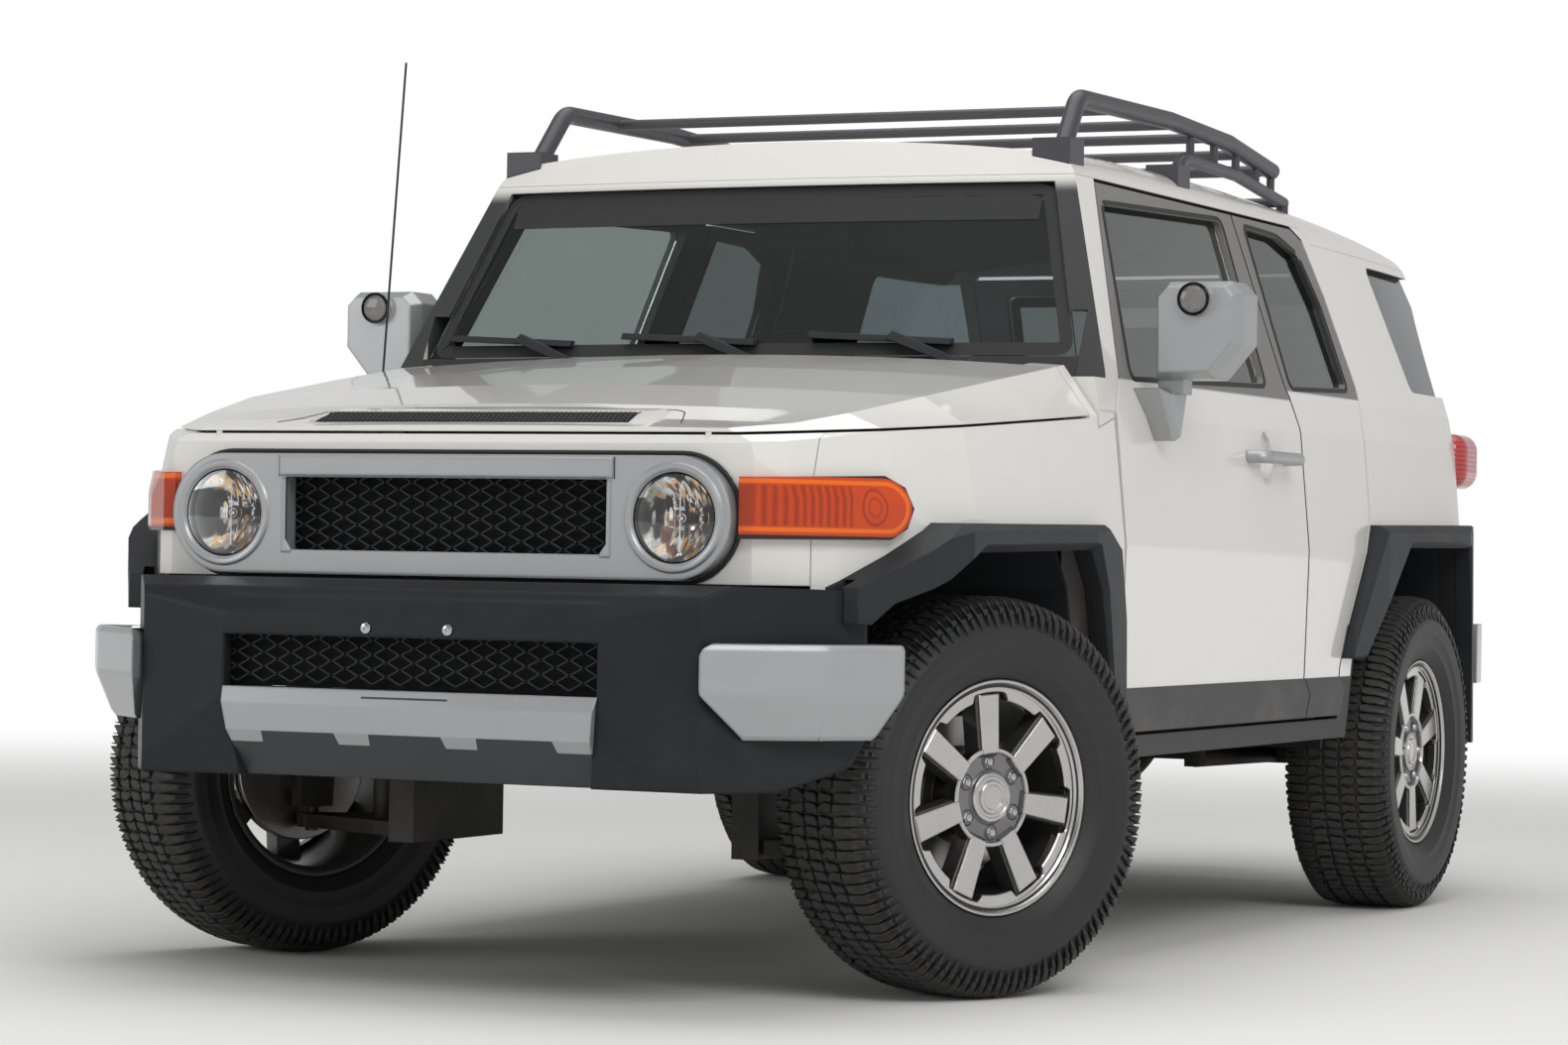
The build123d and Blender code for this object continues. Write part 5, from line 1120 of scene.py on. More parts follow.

# %% [markdown]
# ## Meshes
# Both front openings are closed by expanded mesh: flat strands that run across in waves and meet their
# neighbours at each crest, which leaves wide diamonds. Each strand here is a thin strip with a square
# section whose height follows a wave. Neighbouring strands run in opposite phase. A near-black ribbed
# backing behind is painted shade: it keeps the engine bay from showing, and its ribs stand for a
# radiator's face.

# %% Front meshes
DIAMOND_WIDTH = 0.0606
DIAMOND_HEIGHT = 0.028
STRAND = 0.0031
STEPS_A_DIAMOND = 12
THIRD_WAVE = 0.09
BACKING_RIBS = 36
STRANDS, SHADE_BACKING = 0, 1
# each opening's mesh as (half width, foot, head, y), its depth, and its near-black backing like the mesh
FRONT_MESHES = (
    (
        (0.366, LAMP_Z - 0.08, LAMP_Z + 0.08, st(-692)), 0.006,
        (0.372, LAMP_Z - 0.088, LAMP_Z + 0.088, st(-680)),
    ),
    ((0.424, 0.599, 0.711, st(-829)), 0.005, (0.428, 0.597, 0.716, st(-818))),
)


def strands(form, half_length, low, high, y, depth):
    """Waved strips between two heights, spread from the middle."""
    steps = int(half_length / DIAMOND_WIDTH * STEPS_A_DIAMOND) + 1
    count = int((high - low) / DIAMOND_HEIGHT)
    for k in range(-count, count + 1):
        points = []
        sign = 1 if k % 2 else -1
        for i in range(-steps, steps + 1):
            phase = 2 * math.pi * i / STEPS_A_DIAMOND
            wave = (math.cos(phase) + THIRD_WAVE * math.cos(3 * phase)) / (1 + THIRD_WAVE)
            z = (low + high) / 2 + (k / 2 + sign * wave / 4) * DIAMOND_HEIGHT
            z = min(high - STRAND, max(low + STRAND, z))
            for back, up in ((0, -1), (0, 1), (depth, 1), (depth, -1)):
                points.append((i * DIAMOND_WIDTH / STEPS_A_DIAMOND, y + back, z + up * STRAND / 2))
        rows = 2 * steps + 1
        walls = [(p, s, r, q) for p, q, r, s in quads(rows, 4)]
        form.add(points, [(0, 1, 2, 3), tuple(4 * rows - 1 - i for i in range(4))] + walls, STRANDS)


def shade_backing(form, half_length, low, high, y):
    """A near-black backing with shallow upright ribs: painted shade behind the mesh."""
    points = []
    for i in range(BACKING_RIBS + 1):
        x = half_length * (2 * i / BACKING_RIBS - 1)
        front, back = y + 0.002 * (i % 2), y + 0.006
        points += [(x, front, low), (x, front, high), (x, back, high), (x, back, low)]
    ends = [(3, 2, 1, 0), tuple(4 * BACKING_RIBS + i for i in range(4))]
    form.add(points, ends + quads(BACKING_RIBS + 1, 4), SHADE_BACKING)


mesh_form = Form()
for mesh_box, depth, backing_box in FRONT_MESHES:
    strands(mesh_form, *mesh_box, depth)
    shade_backing(mesh_form, *backing_box)
front_meshes = piece("front_meshes", mesh_form, [finish["mesh_coat"], finish["shade_backing"]], "root", 50.0)
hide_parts("grille_meshes")
print("mesh faces", len(mesh_form.faces))

# %% [markdown]
# ## Surround bar, seal and screws
# The silver surround carries a separate bar over its mesh, between the lamps, that stands a little
# proud and ends in two upright seams. A black rubber seal follows the surround's outside. The number
# plate's two screws stand bare in the bumper, because the plate itself is not fitted.

# %% Surround details
BAR_HALF, BAR_LOW, BAR_HIGH = 0.3665, 1.0035, 1.0440
BAR_FOOT = ((0.353, 1.0), (0.353, 0.88), (0.34, 0.862), (0.34, 0.854), (0.362, 0.854), (0.362, 1.0))
SEAL_HALF, SEAL_HEIGHT = 0.6185, 0.1225
SCREW_HEAD = (
    (-0.006, 0.006), (0.001, 0.011), (0.0034, 0.0104), (0.0052, 0.007), (0.0056, 0.0036), (0.003, 0.0034),
    (0.0030, 0.0001),
)
SCREW_X, SCREW_Z = 0.089, 0.713


def in_front_of(y):
    """Places a plate of (x, z) outlines so that its thickness runs forwards from y."""
    return lambda depth, a, b: (a, y - depth, b)


def behind(y):
    """The same, with the thickness running backwards."""
    return lambda depth, a, b: (a, y + depth, b)


def oblong_ring(half_length, half_height, z, count=24):
    straight = half_length - half_height
    points = []
    for side in (1, -1):
        for i in range(count + 1):
            out, up = around(0, half_height, math.pi * (i / count - 0.5))[1:]
            points.append((side * (straight + out), z + side * up))
    return points


bar_form, seal_form, screw_form = Form(), Form(), Form()
bar = box_outline(-BAR_HALF, BAR_HALF, BAR_LOW, BAR_HIGH)
bar_form.add(*plate(bar, -0.004, 0.0075, 0.0035, in_front_of(FACE_Y)))
seal_path = [(x, st(-694.0), z) for x, z in oblong_ring(SEAL_HALF, SEAL_HEIGHT, LAMP_Z)]
seal_form.add(*tube(seal_path, 0.0042, 8, closed=True))
for side in (1, -1):
    bar_form.add(*plate([(side * a, b) for a, b in BAR_FOOT], -0.004, 0.0022, 0.0012, in_front_of(FACE_Y)))
    seam = box_outline(side * (BAR_HALF + 0.0012), side * (BAR_HALF + 0.0032), BAR_LOW - 0.001, BAR_HIGH)
    seal_form.add(*plate(seam, -0.003, 0.0004, 0.0, in_front_of(FACE_Y)))
    screw_form.add(*turned(SCREW_HEAD, 24), place=forwards(side * SCREW_X, st(-858.0), SCREW_Z))
piece("surround_bar", bar_form, [finish["silver_paint"]], "root")
piece("surround_seal", seal_form, [finish["rubber"]], "root")
piece("plate_screws", screw_form, [zinc], "root")
print("surround details done")

# %% [markdown]
# ## Turn lamps and silver trims
# The amber lens wraps round each corner. Its dark border follows a capsule outline, so the shader
# measures the distance to a line, as one would draw a capsule. Bright bands along the top and the
# bottom are painted highlights. Upright ribs fill the middle, and a round inner lens sits near the
# outer end. The silver bar of the bumper turns charcoal below, with short silver teeth, which the same
# kind of mask draws.

# %% Amber lens
LENS_Z = 0.9575
CAPSULE_FROM = -486.0
INNER_LENS_AT = -512.0
INNER_LENS_SQUEEZE = 1.35
RIBS_FROM = -560.0


def amber_lens():
    material, shader, place = surface(
        "turn_lamp_lens", Coat_Weight=0.6, Coat_Roughness=0.02, Specular_IOR_Level=0.3
    )
    y, z = axes(place)[1:]
    back = place.maths("MAXIMUM", y - st(CAPSULE_FROM), 0.0)
    up = z - LENS_Z
    along = (y - st(INNER_LENS_AT)) * INNER_LENS_SQUEEZE
    from_line = (back * back + up * up).root()
    from_inner_lens = (along * along + up * up).root()
    border = from_line.step(0.0535, 0.0565)
    # painted highlights: bright amber bands along the top and the bottom of the lens
    painted_highlight = from_line.band(0.0395, 0.0425, 0.0475, 0.0505)
    middle = from_line.fall(0.036, 0.040) * y.fall(st(RIBS_FROM), st(RIBS_FROM + 8))
    ring = from_inner_lens.band(0.029, 0.031, 0.035, 0.037)
    core = from_inner_lens.band(0.014, 0.016, 0.019, 0.021)
    ribs = ribs_of(place, "Y", 0.0135)
    deep = noise(place, 30.0) * 0.30 + middle * (1 - ribs) * 0.45 + ring * 0.45 + core * 0.35
    colour = deep.clamp().tint((0.66, 0.062, 0.001), (0.15, 0.008, 0.001))
    colour = painted_highlight.tint(colour, (0.86, 0.15, 0.003))
    feed(shader, "Base Color", border.tint(colour, (0.020, 0.006, 0.004)))
    feed(shader, "Roughness", noise(place, 60.0) * 0.1 + 0.08)
    relief = ring * 0.6 + core * 0.6 + middle * ribs * 0.5 + painted_highlight * 0.5
    soft_edges(shader, place, 0.005, relief, 0.5, 0.0015)
    return material


nodes["turn_lamps"].data.materials[0] = amber_lens()
print("amber lens ready")

# %% Trim paint
FOLD_Z = 0.4895
TOOTH_HEIGHT = 0.022
BAR_END = 0.410


def trim_paint():
    """Silver, with charcoal below the bar's fold, between the teeth, and in the slot over the bar."""
    dark, light = FINISHES["silver_paint"][:2]
    material, shader, place = surface("bumper_trim_paint", Coat_Roughness=0.12)
    x, y, z = axes(place)
    across = abs(x)
    notches = across.fall(0.078, 0.084) + across.band(0.150, 0.156, 0.316, 0.322)
    notches = notches * across.fall(BAR_END - 0.01, BAR_END)
    below = 1 - (z + notches * -TOOTH_HEIGHT).past(FOLD_Z)
    slot = across.fall(0.092, 0.096) * z.band(0.5785, 0.5795, 0.5825, 0.5835)
    mask = ((below * across.fall(0.409, 0.412) + slot) * y.fall(0.0, 0.1)).clamp()
    silver = noise(place, 3.5, 5.0, 0.6).tint(dark, light)
    charcoal = noise(place, 6.0).tint((0.030, 0.032, 0.036), (0.044, 0.046, 0.050))
    feed(shader, "Base Color", mask.tint(silver, charcoal))
    feed(shader, "Roughness", noise(place, 14.0, 4.0) * 0.12 + 0.30 + mask * 0.18)
    feed(shader, "Metallic", (1 - mask) * 0.55)
    feed(shader, "Coat Weight", (1 - mask) * 0.35)
    soft_edges(shader, place, 0.007, noise(place, 900.0), 0.05, 0.0003)
    return material


silver_trim = trim_paint()
nodes["bumper_trims"].data.materials[0] = silver_trim
print("trim ready")

# %% [markdown]
# ## Hood vent
# The hood's front facet carries a raised panel with slanted ends, and a narrow vent closed by a fine
# dark mesh. The panel's edge shows as a thin pressed line. The script finds the hood's skin by
# dropping rays on it, so the line lies on the metal wherever the hood's crown bends.

# %% Rays on a CAD skin
skin_trees = {}
BEAD_STEP = 0.02


def skin_of(name):
    """The CAD node's surface, ready to be asked where a ray meets it."""
    if name not in skin_trees:
        bm = bmesh.new()
        bm.from_mesh(nodes[name].data)
        bm.transform(nodes[name].matrix_world)
        skin_trees[name] = BVHTree.FromBMesh(bm)
        bm.free()
    return skin_trees[name]


def on_skin(name, start, way, lift=0.0):
    """Where a ray meets a node, lifted off along the normal that looks at the ray's start, or None."""
    place, normal = skin_of(name).ray_cast(Vector(start), Vector(way))[:2]
    if place is None:
        return None
    return place + (-normal if normal.dot(Vector(way)) > 0 else normal) * lift


def line_on_skin(name, corners, way, radius, lift):
    """A thin bead that follows a node's skin between corners."""
    path = []
    for a, b in zip(corners, corners[1:]):
        steps = max(1, int((Vector(b) - Vector(a)).length / BEAD_STEP))
        path += [on_skin(name, Vector(a).lerp(Vector(b), i / steps), way, lift) for i in range(steps)]
    return tube(path + [on_skin(name, corners[-1], way, lift)], radius, 6)


HOOD_LINE = (
    (-0.448, -612), (-0.4, -500), (-0.385, -486), (-0.37, -480), (0.37, -480), (0.385, -486), (0.4, -500),
    (0.448, -612),
)
ABOVE_HOOD = 1.6
hood_form = Form()
line = [(x, st(s), ABOVE_HOOD) for x, s in HOOD_LINE]
hood_form.add(*line_on_skin("hood", line, (0, 0, -1), 0.0016, -0.0004))
piece("hood_pressed_line", hood_form, [finish["rubber"]], "hood")
print("pressed line done")

# %% Vent cover
VENT_HALF = 0.353
# y and height of the vent's face at its foot and its head, and of the cover's rear edge
vent_foot, vent_head = Vector((st(-642.0), 1.1105)), Vector((st(-574.0), 1.1345))
cover_back = Vector((st(-496.0), 1.1445))
SLANT = 0.030
# each corner of the cover's section, and how far the slanted ends drop there
COVER = (
    (vent_head, 0.014), (cover_back, 0.014), (cover_back + Vector((0, -0.012)), 0.014),
    (vent_foot + Vector((0.002, -0.006)), 0.004), (vent_foot, 0.004),
)
ENDS = ((-VENT_HALF - SLANT, 1), (-VENT_HALF, 0), (VENT_HALF, 0), (VENT_HALF + SLANT, 1))
points = [(x, p.x, p.y - tuck * drop) for x, tuck in ENDS for p, drop in COVER]
count = len(COVER)
walls = [(q, p, s, r) for p, q, r, s in quads(len(ENDS), count)]
cover_form = Form()
cover_form.add(points, [tuple(range(count)), tuple(range(3 * count, 4 * count))[::-1]] + walls)
piece("hood_vent_cover", cover_form, [paint], "hood", 20.0)
print("vent cover done")

# %% Vent mesh
VENT_STRANDS = 64
STRAND_LEAN = 0.020
FACE_LOW, FACE_HIGH = 0.08, 0.95
STRAND_SHARES = (FACE_LOW, 0.36, 0.66, FACE_HIGH)
slope = Vector((0, *(vent_head - vent_foot)))
normal = Vector((0, -slope.z, slope.y)).normalized()


def on_vent(across, share, lift):
    """A point on the vent's slanted face."""
    return Vector((across, *vent_foot)) + slope * share + normal * lift


vent_form = Form()
low_half, high_half = VENT_HALF - 0.004, VENT_HALF - 0.012
corners = ((-low_half, FACE_LOW), (low_half, FACE_LOW), (high_half, FACE_HIGH), (-high_half, FACE_HIGH))
# a near-black sheet on the vent's face: painted shade where the vent opens under the hood
vent_form.add([on_vent(x, share, 0.0006) for x, share in corners], [(0, 1, 2, 3)], SHADE_BACKING)
for k in range(VENT_STRANDS):
    x = high_half * (2 * (k + 0.5) / VENT_STRANDS - 1)
    for lean in (STRAND_LEAN, -STRAND_LEAN):
        strand = [on_vent(x + lean * (share - 0.5), share, 0.0016) for share in STRAND_SHARES]
        vent_form.add(*tube(strand, 0.0011, 4, caps=False), STRANDS)
piece("hood_vent_mesh", vent_form, [finish["mesh_coat"], finish["shade_backing"]], "hood")
print("vent done")

# %% [markdown]
# ## Bumper corner pieces
# The silver piece on each front corner is a folded form: a front face and a side face that meet at a
# crease, a narrow bevel along the top, and a long facet below that leans back under the bumper. The
# form is a grid: columns follow the bumper's plan, rows step down in height and move in. The bar and
# the rear pieces keep the CAD node's own faces, so one piece can take the node's place.

# %% Corner pieces
# half width and station along the piece's outer edge, from the front to the wheel
CORNER_PATH = ((0.617, -858.0), (0.804, -702.0), (0.901, -568.0))
# height, how far the face stands in, where the row starts and ends along the path
CORNER_ROWS = (
    (0.699, 0.045, 0.03, 0.004), (0.701, 0.011, 0.028, 0.003), (0.6985, 0.0045, 0.022, 0.001),
    (0.69, 0.0, 0.006, 0.0), (0.678, 0.0, 0.0, 0.0), (0.616, 0.0, 0.0, 0.0),
    (0.606, 0.002, 0.002, 0.001), (0.598, 0.005, 0.01, 0.004), (0.53, 0.033, 0.086, 0.04),
    (0.5220, 0.0400, 0.094, 0.046), (0.5205, 0.0700, 0.096, 0.050),
)
CORNER_COLUMNS = 26
CREASE_HALF = 0.004
FRONT_RETURN, SIDE_RETURN = Vector((0.0, 0.055)), Vector((-0.075, 0.012))


def corner_piece(side):
    start, crease, finish_at = (Vector((x, st(s))) for x, s in CORNER_PATH)
    first, second = (crease - start).length, (finish_at - crease).length
    total = first + second
    half = CORNER_COLUMNS // 2
    points = []
    for z, inset, begin, end in CORNER_ROWS:
        to_crease, past_crease = first - CREASE_HALF, first + CREASE_HALF
        marks = [begin + (to_crease - begin) * i / (half - 1) for i in range(half)]
        marks += [past_crease + (total - end - past_crease) * i / (half - 1) for i in range(half)]
        row = []
        for mark in marks:
            origin, target, gone = (start, crease, 0.0) if mark <= first else (crease, finish_at, first)
            along = (target - origin).normalized()
            row.append(origin + along * (mark - gone) + Vector((-along.y, along.x)) * inset)
        row = [row[0] + FRONT_RETURN] + row + [row[-1] + SIDE_RETURN]
        points += [(side * p.x, p.y, z) for p in row]
    faces = [(p, s, r, q) for p, q, r, s in quads(len(CORNER_ROWS), CORNER_COLUMNS + 2, wrap=False)]
    return points, faces if side > 0 else [face[::-1] for face in faces]


trim_form = Form()
source = nodes["bumper_trims"]
for polygon in source.data.polygons:
    spots = [source.matrix_world @ source.data.vertices[i].co for i in polygon.vertices]
    front_corner = all(abs(p.x) > 0.45 and p.y < 0 for p in spots)
    if not front_corner:
        trim_form.add(spots, [tuple(range(len(spots)))])
for side in (1, -1):
    trim_form.add(*corner_piece(side))
bumper_trims = piece("bumper_silver_pieces", trim_form, [silver_trim], "root", 9.0)
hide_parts("bumper_trims")
print("corner pieces done")

# %% [markdown]
# ## Tail lamps and tailgate fittings
# The red lamps sit on the rear corners. Each carries two small windows, a clear one for the reversing
# light and an amber one for the turn light. The tailgate opens from a black handle in a cup beside the
# spare wheel. The handle and its cup are laid on the skin by dropping rays on the tailgate.

# %% Rear fittings
BEHIND_CAR = st(3900)
TAIL_LAMP_FACE = st(3347)
WINDOW_X, WINDOW_HALF_WIDTH, WINDOW_HALF_HEIGHT = 0.814, 0.024, 0.018
# height and slot of each lamp window
LAMP_WINDOWS = ((1.190, 0), (1.112, 1))
GATE_CUP = box_outline(-0.560, -0.440, 1.030, 1.095)


def on_gate(depth, a, b):
    return tuple(on_skin("tailgate", (a, BEHIND_CAR, b), (0, -1, 0), depth))


rear_form, gate_form = Form(), Form()
for side in (1, -1):
    near, far = side * (WINDOW_X - WINDOW_HALF_WIDTH), side * (WINDOW_X + WINDOW_HALF_WIDTH)
    for z, slot in LAMP_WINDOWS:
        window = box_outline(near, far, z - WINDOW_HALF_HEIGHT, z + WINDOW_HALF_HEIGHT)
        rear_form.add(*plate(window, -0.010, 0.0012, 0.0010, behind(TAIL_LAMP_FACE)), slot)
piece("tail_lamp_windows", rear_form, [clear_lens, amber], "root")
gate_form.add(*plate(GATE_CUP, -0.002, 0.010, 0.004, on_gate))
gate_form.add(*plate(shrunk(GATE_CUP, 0.014), 0.008, 0.020, 0.004, on_gate))
piece("tailgate_handle", gate_form, [finish["black_plastic"]], body_of["tailgate"])
print("rear fittings done")

# %% [markdown]
# ## Seats
# A car seat is upholstery over foam: a crowned cushion with raised bolsters, sewn channels across its
# middle, and piping where the panels meet. Cloth simulation can puff such a form, but a seat's foam is
# firm, so here each pad is a soft-cornered body whose crown and channels are given. One pad
# function makes cushions, backs, bolsters and head restraints.

# %% Seat cloth
def seat_cloth(name, dark, light, weave):
    material, shader, place = surface(name, Sheen_Weight=0.25)
    sockets = {"Vector": place, "Scale": weave, "Distortion": 0.6}
    warp, weft = (place.node("ShaderNodeTexWave", {"bands_direction": axis}, sockets) for axis in "XZ")
    threads = warp * weft
    cloud = noise(place, 9.0, 4.0)
    feed(shader, "Base Color", (cloud * 0.6 + threads * 0.4).clamp().tint(dark, light))
    feed(shader, "Roughness", cloud * 0.1 + 0.82)
    feed(shader, "Normal", bump(threads, 0.35, 0.0006))
    return material


seat_side_cloth = seat_cloth("seat_side_cloth", (0.022, 0.022, 0.024), (0.038, 0.038, 0.041), 180.0)
seat_middle_cloth = seat_cloth("seat_middle_cloth", (0.050, 0.051, 0.054), (0.078, 0.080, 0.084), 120.0)

print("cloths", seat_side_cloth.name, seat_middle_cloth.name)


# %% Pads
PAD_ROWS, PAD_COLUMNS = 20, 56
PAD_CROWN = 0.62
PAD_DOME = 0.35
CHANNEL_DEPTH, CHANNEL_WIDTH = 0.008, 0.011


def power(value, exponent):
    return math.copysign(abs(value) ** exponent, value)


def pad(half, place, channels=(), corner=0.34):
    """A firm pad: half sizes across, along and through, crowned on its top, with channels across."""
    a, b, c = half
    points = []
    for i in range(PAD_ROWS + 1):
        tilt = math.pi * (i / PAD_ROWS - 0.5)
        ring = power(max(1e-4, math.cos(tilt)), PAD_CROWN)
        high = power(math.sin(tilt), PAD_CROWN)
        for k in range(PAD_COLUMNS):
            turn = 2 * math.pi * k / PAD_COLUMNS
            across, along = ring * power(math.cos(turn), corner), ring * power(math.sin(turn), corner)
            z = c * high
            if high > 0:
                dent = sum(math.exp(-((along - line) * b / CHANNEL_WIDTH) ** 2) for line in channels)
                z = z * (1 - PAD_DOME * (across**2 + along**2) / 2) - CHANNEL_DEPTH * min(1.0, dent) * high
            points.append(place @ Vector((a * across, b * along, z)))
    ends = [tuple(range(PAD_COLUMNS))[::-1], tuple(PAD_ROWS * PAD_COLUMNS + k for k in range(PAD_COLUMNS))]
    return points, ends + quads(PAD_ROWS + 1, PAD_COLUMNS)


def laid(x, station, z, lean):
    """Place of a pad: its top faces up, then leans back by an angle in degrees."""
    return Matrix.Translation((x, st(station), z)) @ about_x(math.radians(lean))


print("pads ready")

# %% Seats
SIDE_CLOTH, MIDDLE_CLOTH, SHELL, POST = range(4)
SEAT_X = 0.4525
SEAT_LEAN, CUSHION_LEAN, REST_LEAN = 72.0, -3.0, 80.0
# half sizes, offset from the seat's middle, station, height, lean, slot, channels, corner
SEAT_PADS = (
    ((0.150, 0.212, 0.066), 0.0, 1384, 0.752, CUSHION_LEAN, MIDDLE_CLOTH, (-0.55, -0.1, 0.35), 0.34),
    ((0.228, 0.224, 0.052), 0.0, 1388, 0.742, CUSHION_LEAN, SIDE_CLOTH, (), 0.34),
    ((0.040, 0.205, 0.056), 0.186, 1395, 0.768, CUSHION_LEAN, SIDE_CLOTH, (), 0.6),
    ((0.040, 0.205, 0.056), -0.186, 1395, 0.768, CUSHION_LEAN, SIDE_CLOTH, (), 0.6),
    ((0.140, 0.235, 0.050), 0.0, 1694, 1.000, SEAT_LEAN, MIDDLE_CLOTH, (-0.6, -0.2, 0.2, 0.6), 0.34),
    ((0.222, 0.245, 0.048), 0.0, 1708, 0.990, SEAT_LEAN, SIDE_CLOTH, (), 0.34),
    ((0.042, 0.215, 0.048), 0.176, 1688, 0.980, SEAT_LEAN, SIDE_CLOTH, (), 0.6),
    ((0.042, 0.215, 0.048), -0.176, 1688, 0.980, SEAT_LEAN, SIDE_CLOTH, (), 0.6),
    ((0.128, 0.078, 0.040), 0.0, 1786, 1.352, REST_LEAN, SIDE_CLOTH, (), 0.5),
)
PLINTH = ((1172, 0.59), (1596, 0.59), (1610, 0.705), (1180, 0.715))
BENCH_BASE = ((2120, 0.728), (2470, 0.728), (2480, 0.785), (2126, 0.785))
PLINTH_HALF, BENCH_HALF = 0.205, 0.605
POST_X, POST_RADIUS = 0.055, 0.006
POST_FOOT, POST_HEAD = (st(1772), 1.215), (st(1786), 1.33)
seat_form = Form()
for side in (1, -1):
    x = side * SEAT_X
    plinth = [(st(s), z) for s, z in PLINTH]
    seat_form.add(*plate(plinth, x - PLINTH_HALF, x + PLINTH_HALF, 0.012), SHELL)
    for half, offset, station, z, lean, slot, channels, corner in SEAT_PADS:
        seat_form.add(*pad(half, laid(x + offset, station, z, lean), channels, corner), slot)
    for post in (x - POST_X, x + POST_X):
        seat_form.add(*tube([(post, *POST_FOOT), (post, *POST_HEAD)], POST_RADIUS), POST)
# middle and half width of the bench's two parts
for x, half in ((-0.255, 0.357), (0.362, 0.250)):
    seat_form.add(*pad((half, 0.182, 0.066), laid(x, 2296, 0.806, CUSHION_LEAN), (-0.4, 0.2)), MIDDLE_CLOTH)
    seat_form.add(*pad((half, 0.240, 0.050), laid(x, 2562, 1.096, 75.0), (-0.5, 0.0, 0.5)), MIDDLE_CLOTH)
    seat_form.add(*pad((0.115, 0.058, 0.028), laid(x, 2626, 1.340, 82.0), corner=0.5), SIDE_CLOTH)
seat_form.add(*plate([(st(s), z) for s, z in BENCH_BASE], -BENCH_HALF, BENCH_HALF, 0.010), SHELL)
SEAT_FINISHES = [seat_side_cloth, seat_middle_cloth, finish["cabin_plastic"], chrome]
seats = piece("seat_upholstery", seat_form, SEAT_FINISHES, "root", 40.0)
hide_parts("seats")
print("seat faces", len(seat_form.faces))

# %% [markdown]
# ## Window rubber and glass borders
# Each side window sits in a black rubber that follows its rounded outline. The rubber is a band with a
# low rounded section, laid on the door by rays, so it takes the door's lean. Bonded glass, such as the
# windshield, has a black ceramic border printed on it instead, deeper along the top as a sun shade.

# %% Seals
def rounded_outline(corners, radius, count=6):
    """Outline with every corner replaced by an arc-like curve of the given radius."""
    points = []
    total = len(corners)
    for i in range(total):
        before, here, after = (Vector(corners[k % total]) for k in (i - 1, i, i + 1))
        start = here + (before - here).normalized() * radius
        end = here + (after - here).normalized() * radius
        for k in range(count + 1):
            t = k / count
            points.append(tuple(start.lerp(here, t).lerp(here.lerp(end, t), t)))
    return points


def dense(outline, spacing=0.03):
    """Outline with long edges split, so that a band can bend over them."""
    points = []
    for i, here in enumerate(outline):
        after = outline[(i + 1) % len(outline)]
        steps = max(1, int((Vector(after) - Vector(here)).length / spacing))
        points += [tuple(Vector(here).lerp(Vector(after), k / steps)) for k in range(steps)]
    return points


def band_on_skin(form, name, outline, rails, cast):
    """A band over a node: rails are (growth, lift) across it, cast gives each ray's start and way. The band
    stops where a ray misses the node."""
    hits = [on_skin(name, *cast(a, b), lift) for growth, lift in rails for a, b in shrunk(outline, -growth)]
    count = len(outline)
    kept = [all(hit is not None for hit in hits[i::count]) for i in range(count)]
    number = {}
    for i in range(len(hits)):
        if kept[i % count]:
            number[i] = len(number)
    faces = [face for face in quads(len(rails), count) if all(i in number for i in face)]
    form.add([hits[i] for i in number], [tuple(number[i] for i in face) for face in faces])


def from_side(side):
    return lambda a, b: ((side * 1.3, a, b), (-side, 0, 0))


def from_front(a, b):
    return (a, st(-200), b), (0, 1, 0)


def from_back(a, b):
    return (a, BEHIND_CAR, b), (0, -1, 0)


RUBBER_RAILS = ((0.0015, 0.0002), (0.003, 0.0026), (0.01, 0.0026), (0.0125, 0.0002))
BORDER_RAILS = ((-0.0020, 0.0006), (-0.0300, 0.0006))
# window outline as (station, height), corner radius, node that holds its rubber
SIDE_WINDOWS = (
    (((704, 1262), (856, 1642), (1648, 1668), (1600, 1286)), 0.022, "door_front"),
    (
        ((1792, 1288), (1820, 1666), (2060, 1660), (2180, 1626), (2232, 1502), (2236, 1302)), 0.02,
        "door_rear",
    ),
)
for corners, radius, holder in SIDE_WINDOWS:
    outline = dense(rounded_outline([(st(s), z * MM) for s, z in corners], radius))
    for side, label in SIDES:
        door = f"{holder}_{label}"
        rubber_form = Form()
        band_on_skin(rubber_form, door, outline, RUBBER_RAILS, from_side(side))
        piece(f"window_rubber_{door}", rubber_form, [finish["rubber"]], body_of[door], 60.0)
print("window rubbers done")

# %% Glass borders
# each opening as (half width, height), at its foot and its head
SHIELD_OPENING = ((0.786, 1.297), (0.668, 1.684))
GATE_OPENING = ((0.486, 1.316), (0.472, 1.606))
SHADE_HALF, SHADE_HEIGHTS = 0.645, (1.600, 1.628, 1.656)
SHADE_COLUMNS = 48


def opening(foot, head):
    return [(-foot[0], foot[1]), foot, head, (-head[0], head[1])]


border_form, gate_border = Form(), Form()
shield = dense(rounded_outline(opening(*SHIELD_OPENING), 0.05))
band_on_skin(border_form, "fixed_glass", shield, BORDER_RAILS, from_front)
shade_points = []
for z in SHADE_HEIGHTS:
    for i in range(SHADE_COLUMNS + 1):
        x = SHADE_HALF * (2 * i / SHADE_COLUMNS - 1)
        shade_points.append(on_skin("fixed_glass", *from_front(x, z), 0.0006))
border_form.add(shade_points, quads(len(SHADE_HEIGHTS), SHADE_COLUMNS + 1, wrap=False))
piece("windshield_border", border_form, [finish["rubber"]], "root", 60.0)
gate_glass = dense(rounded_outline(opening(*GATE_OPENING), 0.03))
band_on_skin(gate_border, "glass_tailgate", gate_glass, BORDER_RAILS, from_back)
piece("tailgate_glass_border", gate_border, [finish["rubber"]], body_of["glass_tailgate"], 60.0)
print("glass borders done")

